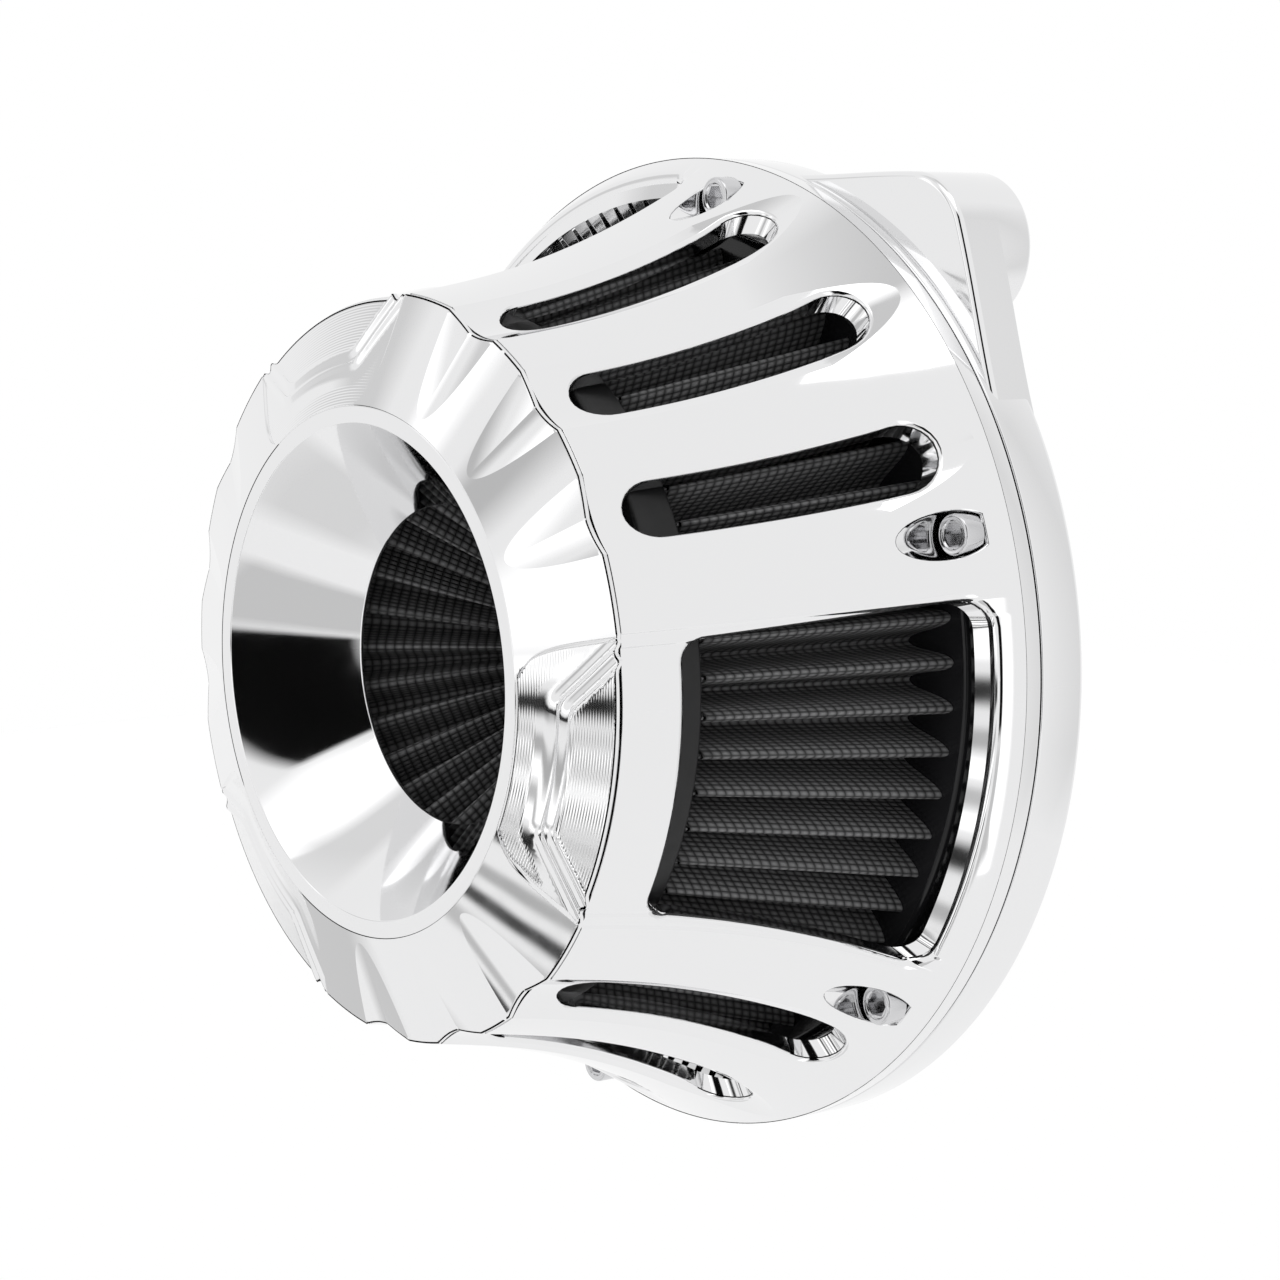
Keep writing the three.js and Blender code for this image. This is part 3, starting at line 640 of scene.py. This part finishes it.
def flute_notch(turn, radius):
    """Flat facet on one side of the crease and a hollow scoop on the other."""
    along = share(radius, FLUTE["tip"], STACK_RADIUS)
    half = np.maximum(flute_halves(radius), 1e-4)
    notch = np.zeros_like(turn)
    for offset in SLOT_OFFSETS:
        across = (turn - offset) / half
        cut = np.where(across < 0.0, 1.0 + across, 1.0 - across ** 2)
        notch = np.maximum(notch, FLUTE["notch"] * along * cut)
    return notch


def pocket_halves(radius):
    return POCKET["half"] - POCKET["narrowing"] * np.exp((RIM_RADIUS - radius) / POCKET["ease"])


def rib_slope():
    """Millimetres sideways for each millimetre outwards along the ribs' slanted parts."""
    start = RIBS["start"] * math.radians(RIBS["bend"])
    end = STACK_RADIUS * math.radians(RIBS["rim"])
    return start, (end - start) / (STACK_RADIUS - RIBS["start"])


def rib_distance(turn, radius):
    """Distance outwards from the first rib, which bends into a trapezoid."""
    start, slope = rib_slope()
    side = start + slope * (radius - RIBS["start"]) - radius * np.radians(np.abs(turn))
    side = side / math.sqrt(1.0 + slope ** 2)
    front = radius - RIBS["start"]
    near = np.maximum(RIBS["blend"] - np.abs(front - side), 0.0)
    return np.minimum(front, side) - near ** 2 / (4.0 * RIBS["blend"])


def pocket_notch(turn, radius):
    edge = (pocket_halves(radius) - np.abs(turn)) * np.radians(radius)
    floor = smooth(edge / POCKET["edge"])
    distance = rib_distance(turn, radius)
    ribs = sum(np.exp(-((distance - i * RIBS["spacing"]) / RIBS["width"]) ** 2) for i in range(2))
    start = smooth((radius - RIM_RADIUS) / POCKET["edge"])
    return POCKET["notch"] * floor * start * (1.0 - RIBS["height"] * ribs)


def stack_point(turn, radius):
    notch = np.maximum(flute_notch(turn, radius), pocket_notch(turn, radius))
    return radius - notch, cone_height(radius)


def stack_outside(turn, radius):
    across, height = stack_point(turn, radius)
    return place(across, turn, height)


def machined(turn, radius):
    """How strongly the cutter's rings show: on the pocket's two floors."""
    distance = rib_distance(turn, radius)
    inside = smooth((pocket_halves(radius) - np.abs(turn) - 1.2) / 0.8)
    floors = smooth(FLOOR_MARKS[0] - distance) + smooth(distance - FLOOR_MARKS[1])
    return inside * floors * smooth((radius - RIM_RADIUS) / 0.8)


def stack_lines():
    """Edges and creases of the flutes, edge of the pocket and both its ribs."""
    radii = FLUTE["tip"] + (STACK_RADIUS - FLUTE["tip"]) * np.linspace(0.0, 1.0, 30) ** 1.6
    lines = []
    for offset in SLOT_OFFSETS:
        lines.extend(columns(offset + side * flute_halves(radii), radii) for side in (-1.0, 0.0, 1.0))
    radii = np.linspace(RIM_RADIUS, STACK_RADIUS, 40)
    for side in (-1.0, 1.0):
        for inset in (0.0, 0.3, 0.6, 0.9):
            turn = pocket_halves(radii) - np.degrees(inset / radii)
            lines.append(columns(side * turn, radii))
    offsets = np.linspace(-0.9, RIBS["spacing"] + 0.9, 14)
    lines.extend(rib_line(offset) for offset in offsets)
    return lines


def rib_line(offset):
    """Line along the ribs at an offset outwards from the first one."""
    start, slope = rib_slope()
    length = math.sqrt(1.0 + slope ** 2)
    corner = RIBS["start"] + offset
    radii = np.linspace(STACK_RADIUS, corner, 18)
    slanted = np.degrees((start + slope * (radii - RIBS["start"]) - offset * length) / radii)
    across = np.linspace(slanted[-1], -slanted[-1], 20)[1:-1]
    left, right = columns(slanted, radii), columns(-slanted, radii)[::-1]
    return np.concatenate([left, columns(across, corner), right])


def stack_rim(shape, turns, radius):
    """Rounded outer edge of the cone, then the face that meets the cover."""
    across, height = stack_point(turns, np.full_like(turns, radius))
    swing = np.radians(np.linspace(70.0, 0.0, 5))[:, None]
    reach, drop = STACK_ROLL * np.cos(swing), STACK_ROLL * (1.0 - np.sin(swing))
    rows = place(across - reach[0] + reach, turns, height + drop[0] - drop)
    shape.add_grid(rows, rolled_normals(rows, place(1.0, turns, 0.0), swing))
    low = rows[-1].copy()
    low[:, 1] = -MM * SEAM_HEIGHT
    shape.add_strip(rows[-1], low)
    shape.add_strip(low, place(SPIGOT_RADIUS, turns, SEAM_HEIGHT))


def rolled_normals(rows, outward, swing):
    """Normals of a rounded edge, square to its own length."""
    along = unit(np.gradient(rows, axis=1))
    aim = unit(outward) * np.cos(swing)[..., None] + FORWARD * np.sin(swing)[..., None]
    return unit(aim - (aim * along).sum(axis=-1, keepdims=True) * along)


def stack_sector():
    shape = Shape()
    edge = STACK_RADIUS - STACK_ROLL
    low, high = np.array([SECTOR_START, RIM_RADIUS]), np.array([SECTOR_END, edge])
    turns = np.linspace(low[0], high[0], 241)
    lines = [line[line[:, 1] <= edge] for line in stack_lines()]
    lines.extend(columns(turns, radius) for radius in (edge, RIM_RADIUS))
    points, triangles = triangulate(lines, (0.8, 0.6), low, high)
    corners = points[triangles].reshape(-1, 2)
    add_sheet(shape, stack_outside, points, triangles, -1.0, machined(*corners.T))
    stack_rim(shape, turns, edge)
    return shape


def velocity_stack():
    shape = three_sectors(stack_sector())
    shape.add_lathe(rounded(STACK_BACK), circle_angles(240))
    shape.add_lathe(rounded(STACK_FRONT), circle_angles(360))
    return shape.build("velocity_stack_polished")


# Backplate

def backplate():
    """Turned plate with an ear. Its hub's flat faces are sheets with the throttle screws' holes."""
    shape = Shape()
    for section in PLATE_SECTIONS:
        shape.add_lathe(rounded(section), circle_angles(360))
    for sector, count in ((throttle_screw_sector(), 3), (cover_screw_sector(), 6)):
        for i in range(count):
            shape.add_turned(sector, 360.0 * i / count)
    add_ear(shape)
    return shape.build("backplate_polished")


def throttle_screw_sector():
    """A third of the hub's front and rear faces, with one throttle screw's hole between them."""
    shape = Shape()
    screw, angle = THROTTLE_SCREW, THROTTLE_SCREW_ANGLES[0]
    hole, counterbore = screw["shank"] + HOLE_GAP, screw["head"] + HOLE_GAP
    seat = screw["seat"] - HOLE_GAP
    rear, front = (GROOVE_EDGE, HUB_EDGE), (BORE_EDGE, HUB_EDGE)
    pierced_face(shape, screw, angle, hole, rear, SECTOR, 0.0, -1.0)
    pierced_face(shape, screw, angle, counterbore, front, SECTOR, PLATE_FRONT, 1.0)
    wall = [(counterbore, PLATE_FRONT), (counterbore, seat), (hole, seat), (hole, 0.0)]
    add_hole(shape, screw, angle, wall)
    return shape


def cover_screw_sector():
    """A sixth of the rim's front face, with one cover screw's blind hole."""
    shape = Shape()
    screw, angle = COVER_SCREW, COVER_SCREW_ANGLES[0]
    hole, bottom = screw["shank"] + HOLE_GAP, screw["seat"] - screw["length"] - HOLE_RUNOUT
    pierced_face(shape, screw, angle, hole, RIM_FACE, 0.5 * SECTOR, PLATE_FRONT, 1.0)
    add_hole(shape, screw, angle, [(hole, PLATE_FRONT), (hole, bottom), (0.0, bottom)])
    return shape


def add_hole(shape, screw, angle, wall):
    x, _, z = place(screw["circle"], angle, 0.0) / MM
    shape.add_lathe(wall, circle_angles(60), (x, z))


def pierced_face(shape, screw, angle, hole, edges, span, height, outward):
    """Flat ring between two edges over a span of angle, with a screw's hole in its middle."""
    turns = np.radians(circle_angles(60))
    out, side = screw["circle"] + hole * np.cos(turns), hole * np.sin(turns)
    loop = columns(angle + np.degrees(np.arctan2(side, out)), np.hypot(side, out))
    low, high = (angle - 0.5 * span, edges[0]), (angle + 0.5 * span, edges[1])
    points, triangles = triangulate([loop], (1.0, 1.0), low, high)
    solid = polygon_distance(points[triangles].mean(axis=1), loop[:-1]) > 0.0

    def face(turn, radius):
        return place(radius, turn, height)
    add_sheet(shape, face, points, triangles[solid], outward)


def ear_outline(inset):
    """Outline of the ear seen from the front, as across and up coordinates."""
    boss = np.array([EAR["x"], EAR["z"]])
    heading = math.atan2(boss[1], boss[0])
    spread = math.acos((FLANGE_RADIUS - EAR["radius"]) / np.linalg.norm(boss))

    def spoke(radius, turn):
        return radius * np.array([math.cos(turn), math.sin(turn)])

    def side(turn, end):
        plate = spoke(EAR["tangent"] - inset, turn)
        return [plate + (end - plate) * t - spoke(SAG_PEAK * EAR_SAG * t * (1.0 - t) ** 2, turn)
                for t in np.linspace(EAR_START, 1.0, 25)[:-1]]

    turns = heading + spread * np.linspace(-1.0, 1.0, 40)
    arc = [boss + spoke(EAR["radius"] - inset, turn) for turn in turns]
    upper = side(heading + spread, arc[-1])
    return np.array(side(heading - spread, arc[0]) + arc + upper[::-1])


def flat_points(outline, height):
    return MM * np.stack([outline[:, 0], np.full(len(outline), -height), outline[:, 1]], axis=-1)


def add_ear(shape):
    """Web between the plate and the boss, then the boss with its blind hole."""
    swing = np.radians(np.linspace(0.0, 90.0, 7))
    rows = np.stack([flat_points(ear_outline(EAR_ROLL * (1.0 - math.cos(t))),
                                 EAR["front"] - EAR_ROLL * (1.0 - math.sin(t))) for t in swing])
    outward = np.cross(unit(np.gradient(rows[0], axis=0)), FORWARD)
    shape.add_grid(rows, rolled_normals(rows, outward, swing[:, None]))
    foot = rows[0].copy()
    foot[:, 1] = -MM * EAR["rear"]
    shape.add_strip(foot, rows[0], outward)
    for row, facing_way in ((rows[-1], FORWARD), (foot, -FORWARD)):
        hub = np.broadcast_to(flat_points(np.array([EAR_HUB]), 0.0)[0], row.shape).copy()
        hub[:, 1] = row[:, 1]
        shape.add_strip(row, hub, facing_way)
    axis = (EAR["x"], EAR["z"])
    shape.add_lathe(rounded(EAR_BOSS), circle_angles(64), axis)
    shape.add_lathe([(0.0, EAR["depth"]), (EAR["hole"], EAR["depth"])], circle_angles(48), axis)


# Fasteners and rings

def socket_screw(name, screw):
    """Socket head cap screw standing on the axis."""
    shape = Shape()
    top = screw["seat"] + screw["height"]
    shank, head, key = screw["shank"], screw["head"], screw["key"]
    mouth = key / math.cos(math.radians(30.0)) + 0.12
    low = screw["seat"] - screw["length"]
    outside = [(0, low, 0), (shank, low, 0.5), (shank, screw["seat"], 0.1), (head, screw["seat"], 0.15),
               (head, top, 0.55), (mouth + 0.25, top, 0.2), (mouth, top - 0.3, 0)]
    shape.add_lathe(rounded(outside), circle_angles(96))
    turns = circle_angles(96)
    flats = key / np.cos(np.radians((turns + 30.0) % 60.0 - 30.0))
    rim, floor = place(mouth, turns, top - 0.3), place(flats, turns, top - 0.32)
    deep = place(flats, turns, top - KEY_DEPTH * screw["height"])
    shape.add_strip(rim, floor, FORWARD)
    shape.add_strip(floor, deep, place(-1.0, 60.0 * np.floor((turns + 30.0) / 60.0), 0.0))
    shape.add_strip(deep, place(0.0, turns, top - KEY_POINT * screw["height"]), FORWARD)
    return shape.build(name)


def put_screws(name, screw, angles, body, material):
    first = socket_screw(f"{name}_fine_1", screw)
    for i, angle in enumerate(angles):
        piece = first.copy() if i else first
        if i:
            bpy.context.scene.collection.objects.link(piece)
        piece.name = f"{name}_fine_{i + 1}"
        piece.location = place(screw["circle"], angle, 0.0)
        finish(piece, body, [f"{name}_{i + 1}"], material)


def ring(name, section):
    shape = Shape()
    path = rounded(section, closed=True)
    shape.add_lathe(path + path[:1], circle_angles(240))
    return shape.build(name)


# Filter

def pleat_wave(steps):
    """One pleat as (share of the pitch, share of the depth, length along the sheet)."""
    along = np.linspace(0.0, 1.0, steps + 1)
    height = 0.5 - 0.5 * np.cos(2.0 * math.pi * along)
    return along, smooth(smooth(height)) * PLEAT_FLATNESS + height * (1.0 - PLEAT_FLATNESS)


def pleated_surface(shape, count, first, edges, step, towards):
    """Folded sheet between two edges of (tip radius, tip height, valley radius, valley height)."""
    along, depth = pleat_wave(24)
    turns = np.concatenate([(i + along[:-1]) * 360.0 / count for i in range(count)] + [[360.0]])
    depths = np.concatenate([np.tile(depth[:-1], count), [depth[-1]]])
    rows = []
    for part in np.linspace(0.0, 1.0, 9):
        tip_r, tip_h, low_r, low_h = edges[0] + (edges[1] - edges[0]) * part
        radii, heights = tip_r + (low_r - tip_r) * depths, tip_h + (low_h - tip_h) * depths
        rows.append(place(radii + step[0], turns + first, heights + step[1]))
    rows = np.stack(rows)
    normals = grid_normals(rows)
    travel = np.linalg.norm(np.diff(rows[4], axis=0), axis=1) / MM
    across = np.concatenate([[0.0], np.cumsum(travel)])
    down = np.linalg.norm(rows[:, 0] - rows[0, 0], axis=1) / MM
    shape.add_grid(rows, normals * towards, columns(across[None, :], down[:, None]))
    return rows


def pleated_sheet(name, count, first, edges, step, towards):
    shape = Shape()
    edges = np.array(edges, float)
    near = pleated_surface(shape, count, first, edges, (0.0, 0.0), towards)
    far = pleated_surface(shape, count, first, edges, step, -towards)
    for row in (0, -1):
        shape.add_strip(near[row], far[row])
    return shape.build(name)


def outer_media():
    m = OUTER_MEDIA
    edges = [(m["front_radius"], m["front"], m["front_radius"] - m["depth"], m["front"]),
             (m["rear_radius"], m["rear"], m["rear_radius"] - m["depth"], m["rear"])]
    step = (-SHEET_THICKNESS, 0.0)
    return pleated_sheet("filter_outer_pleats", m["pleats"], m["first"], edges, step, 1.0)


def inner_media():
    m = INNER_MEDIA
    lean = math.atan(m["spread"])
    square = np.array([math.cos(lean), -math.sin(lean)])
    edges = []
    for height in (m["front"], m["rear"]):
        tip = np.array([(height - m["apex"]) * m["spread"], height])
        edges.append((*tip, *(tip + m["depth"] * square)))
    step = SHEET_THICKNESS * square
    return pleated_sheet("filter_inner_pleats", m["pleats"], 0.0, edges, step, -1.0)


# Materials

class Surface:
    """Node material with a principled shader, built up by small steps."""

    def __init__(self, name, color, metallic, roughness):
        self.material = bpy.data.materials.new(name)
        self.material.use_nodes = True
        self.tree = self.material.node_tree
        self.shader = self.tree.nodes["Principled BSDF"]
        self.set("Base Color", (*color, 1.0))
        self.set("Metallic", metallic)
        self.set("Roughness", roughness)

    def link(self, source, target):
        if hasattr(source, "links"):
            self.tree.links.new(source, target)
        else:
            target.default_value = source

    def set(self, name, source):
        self.link(source, self.shader.inputs[name])

    def node(self, kind, inputs):
        """New node with its inputs, each a number or what another node gives."""
        node = self.tree.nodes.new("ShaderNode" + kind)
        for name, source in inputs.items():
            self.link(source, node.inputs[name])
        return node

    def coordinates(self, kind):
        return self.node("TexCoord", {}).outputs[kind]

    def attribute(self, name):
        node = self.node("Attribute", {})
        node.attribute_name = name
        return node.outputs["Fac"]

    def math(self, operation, a, b=0.0):
        node = self.node("Math", {0: a, 1: b})
        node.operation = operation
        return node.outputs[0]

    def plus(self, a, b):
        return self.math("ADD", a, b)

    def times(self, a, b):
        return self.math("MULTIPLY", a, b)

    def glow(self, strength):
        self.set("Emission Color", (1.0, 1.0, 1.0, 1.0))
        self.set("Emission Strength", strength)

    def parts(self, vector):
        return self.node("SeparateXYZ", {0: vector}).outputs

    def noise(self, scale, detail=3.0):
        inputs = {"Scale": scale, "Detail": detail, "Vector": self.coordinates("Object")}
        return self.node("TexNoise", inputs).outputs["Fac"]

    def ramp(self, value, low, high):
        """Maps 0..1 to low..high."""
        return self.node("MapRange", {"Value": value, "To Min": low, "To Max": high}).outputs[0]

    def mix(self, value, low, high):
        """Colour between low and high."""
        node = self.node("Mix", {})
        node.data_type = "RGBA"
        for name, source in (("Factor", value), ("A", (*low, 1.0)), ("B", (*high, 1.0))):
            self.link(source, node.inputs[name])
        return node.outputs["Result"]

    def fade(self, position, soft):
        """1 along the middle of a side and 0 at both its ends, where position is 0 and 1."""
        from_middle = self.math("ABSOLUTE", self.math("SUBTRACT", position, 0.5))
        return self.ramp(self.math("DIVIDE", self.math("SUBTRACT", 0.5, from_middle), soft), 0.0, 1.0)

    def bump(self, height):
        """Height in millimetres."""
        node = self.node("Bump", {"Strength": 1.0, "Distance": MM, "Height": height})
        self.set("Normal", node.outputs["Normal"])


def chrome():
    """Plated casting: mirror bright, faintly wavy, with cutter rings where it was machined."""
    surface = Surface("chrome_plate", (0.81, 0.81, 0.815), 1.0, 0.05)
    surface.set("Roughness", surface.ramp(surface.noise(220.0), 0.03, 0.075))
    x, _, z = surface.parts(surface.coordinates("Object"))
    radius = surface.math("SQRT", surface.plus(surface.times(x, x), surface.times(z, z)))
    wave = surface.math("SINE", surface.times(radius, 2.0 * math.pi / (RING_PITCH * MM)))
    rings = surface.times(surface.times(wave, surface.attribute("machined")), RING_DEPTH)
    surface.bump(surface.plus(rings, surface.times(surface.noise(55.0, 1.0), WAVINESS)))
    return surface.material


def screw_steel():
    surface = Surface("screw_steel", (0.62, 0.62, 0.63), 1.0, 0.16)
    surface.set("Roughness", surface.ramp(surface.noise(900.0), 0.10, 0.24))
    surface.bump(surface.times(surface.noise(1500.0), 0.004))
    return surface.material


def weave():
    """Cotton gauze over the pleats: pillows between crossing threads. Its colour has a painted
    highlight on the raised pillows and painted shade along the low lines between them.
    """
    surface = Surface("filter_gauze", (0.02, 0.02, 0.02), 0.0, 0.62)
    u, v, _ = surface.parts(surface.coordinates("UV"))
    across, along = (surface.math("ABSOLUTE", surface.math("SINE", surface.times(way, math.pi / pitch)))
                     for way, pitch in zip((u, v), WEAVE_PITCH))
    pillow = surface.math("POWER", surface.times(across, along), 0.8)
    fibres = surface.noise(3200.0, 4.0)
    # Weave pattern with painted light: the colour is brightest on the raised pillows, a painted
    # highlight, and darkest along the low thread lines, painted shade
    weave_and_highlight_tone = surface.times(pillow, surface.ramp(fibres, 0.6, 1.2))
    surface.set("Base Color", surface.mix(weave_and_highlight_tone, (0.007, 0.007, 0.007), (0.19, 0.19, 0.193)))
    surface.set("Roughness", surface.ramp(fibres, 0.5, 0.75))
    surface.bump(surface.plus(surface.times(pillow, 0.16), surface.times(fibres, 0.05)))
    return surface.material


def moulded(name, color, roughness, grain):
    """Moulded urethane or rubber with a slightly uneven skin."""
    surface = Surface(name, color, 0.0, roughness)
    surface.set("Specular IOR Level", 0.3)
    surface.set("Roughness", surface.ramp(surface.noise(300.0), roughness * 0.75, roughness * 1.3))
    skin, pores = surface.noise(90.0, 2.0), surface.noise(1200.0)
    surface.bump(surface.plus(surface.times(skin, 2.0 * grain), surface.times(pores, grain)))
    return surface.material


# Putting pieces in the frame

def finish(piece, body, nodes, material):
    if not piece.data.materials:
        piece.data.materials.append(material)
    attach(piece, body)
    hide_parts(*nodes)


def build_object():
    plate, steel, gauze = chrome(), screw_steel(), weave()
    cap_skin = moulded("cap_urethane", (0.010, 0.010, 0.0104), 0.42, 0.012)
    ring_skin = moulded("ring_urethane", (0.010, 0.010, 0.011), 0.16, 0.02)
    rubber = moulded("seal_rubber", (0.015, 0.015, 0.016), 0.5, 0.01)

    finish(cover_shell(), "cover", ["cover_shell"], plate)
    finish(velocity_stack(), "cover", ["velocity_stack"], plate)
    finish(backplate(), "backplate", ["backplate"], plate)
    put_screws("cover_screw", COVER_SCREW, COVER_SCREW_ANGLES, "cover", steel)
    put_screws("throttle_screw", THROTTLE_SCREW, THROTTLE_SCREW_ANGLES, "backplate", steel)
    finish(outer_media(), "filter", ["filter_outer_media"], gauze)
    finish(inner_media(), "filter", ["filter_inner_media"], gauze)
    front_cap = ring("filter_front_cap_moulded", FRONT_CAP)
    finish(front_cap, "filter", ["filter_front_cap"], cap_skin)
    rear_ring = ring("filter_rear_ring_moulded", REAR_RING)
    finish(rear_ring, "filter", ["filter_rear_ring"], ring_skin)
    small_end = Shape()
    small_end.add_lathe(rounded(INNER_CAP), circle_angles(120))
    small_cap = small_end.build("filter_inner_cap_moulded")
    finish(small_cap, "filter", ["filter_inner_cap"], cap_skin)

    kept = {"throttle_o_ring": rubber, "stack_o_ring": rubber}
    kept.update({f"stack_screw_{i + 1}": steel for i in range(3)})
    for name, material in kept.items():
        materials = frame["nodes"][name].data.materials
        materials.clear()
        materials.append(material)


# Studio

def heading(azimuth, elevation):
    """Direction from the part towards a place in the room; azimuth 0 looks at the mouth."""
    a, e = math.radians(azimuth), math.radians(elevation)
    return Vector((math.sin(a) * math.cos(e), -math.cos(a) * math.cos(e), math.sin(e)))


def aim(piece, azimuth, elevation, distance):
    """Puts a piece at a distance from the part, facing it."""
    out = heading(azimuth, elevation)
    piece.location = CENTRE + out * distance
    piece.rotation_euler = out.to_track_quat("Z", "Y").to_euler()


def rectangle(name, width, height):
    mesh = bpy.data.meshes.new(name)
    w, h = 0.5 * width, 0.5 * height
    mesh.from_pydata([(-w, -h, 0), (w, -h, 0), (w, h, 0), (-w, h, 0)], [], [(0, 1, 2, 3)])
    return put_in_scene(name, mesh)


def card(name, azimuth, elevation, distance, size, brightness, soft):
    """Glowing or black card that the chrome reflects. It faces the part and fades at its edges."""
    piece = rectangle(name, *size)
    aim(piece, azimuth, elevation, distance)
    piece.visible_camera = piece.visible_diffuse = piece.visible_shadow = False
    surface = Surface(name, (0.0, 0.0, 0.0), 0.0, 1.0)
    surface.set("Specular IOR Level", 0.0)
    surface.glow(brightness)
    across, up, _ = surface.parts(surface.coordinates("Generated"))
    fades = surface.fade(across, soft / size[0]), surface.fade(up, soft / size[1])
    surface.set("Alpha", surface.times(*fades))
    piece.data.materials.append(surface.material)


def floor():
    piece = rectangle("floor", *FLOOR_SIZE)
    piece.location = (0.0, 0.0, FLOOR_HEIGHT)
    surface = Surface("floor_paper", (0.6, 0.6, 0.6), 0.0, 0.9)
    surface.glow(FLOOR_GLOW)
    piece.data.materials.append(surface.material)


def world():
    room = bpy.data.worlds.new("white_studio")
    room.use_nodes = True
    background = room.node_tree.nodes["Background"]
    background.inputs["Color"].default_value = (1.0, 1.0, 1.0, 1.0)
    background.inputs["Strength"].default_value = 1.0
    bpy.context.scene.world = room


def lamp(name, azimuth, elevation, distance, size, power):
    data = bpy.data.lights.new(name, "AREA")
    data.energy = power
    data.shape = "RECTANGLE"
    data.size, data.size_y = size
    aim(put_in_scene(name, data), azimuth, elevation, distance)


def camera():
    data = bpy.data.cameras.new("camera")
    data.sensor_width = 36.0
    data.lens = LENS
    data.shift_x, data.shift_y = SHIFT
    data.clip_start = 0.01
    piece = put_in_scene("camera", data)
    aim(piece, *CAMERA_ANGLE, CAMERA_DISTANCE)
    bpy.context.scene.camera = piece


build_object()
world()
floor()
for row in CARDS:
    card(*row)
for i, (elevation, height, brightness) in enumerate(FRONT_STRIPS):
    card(f"front_strip_{i + 1}", STRIP["azimuth"], elevation, STRIP["distance"],
         (STRIP["width"], height), brightness, STRIP["fade"] * height)
lamp("top_lamp", *TOP_LAMP)
camera()
bpy.context.scene.view_settings.view_transform = "Standard"
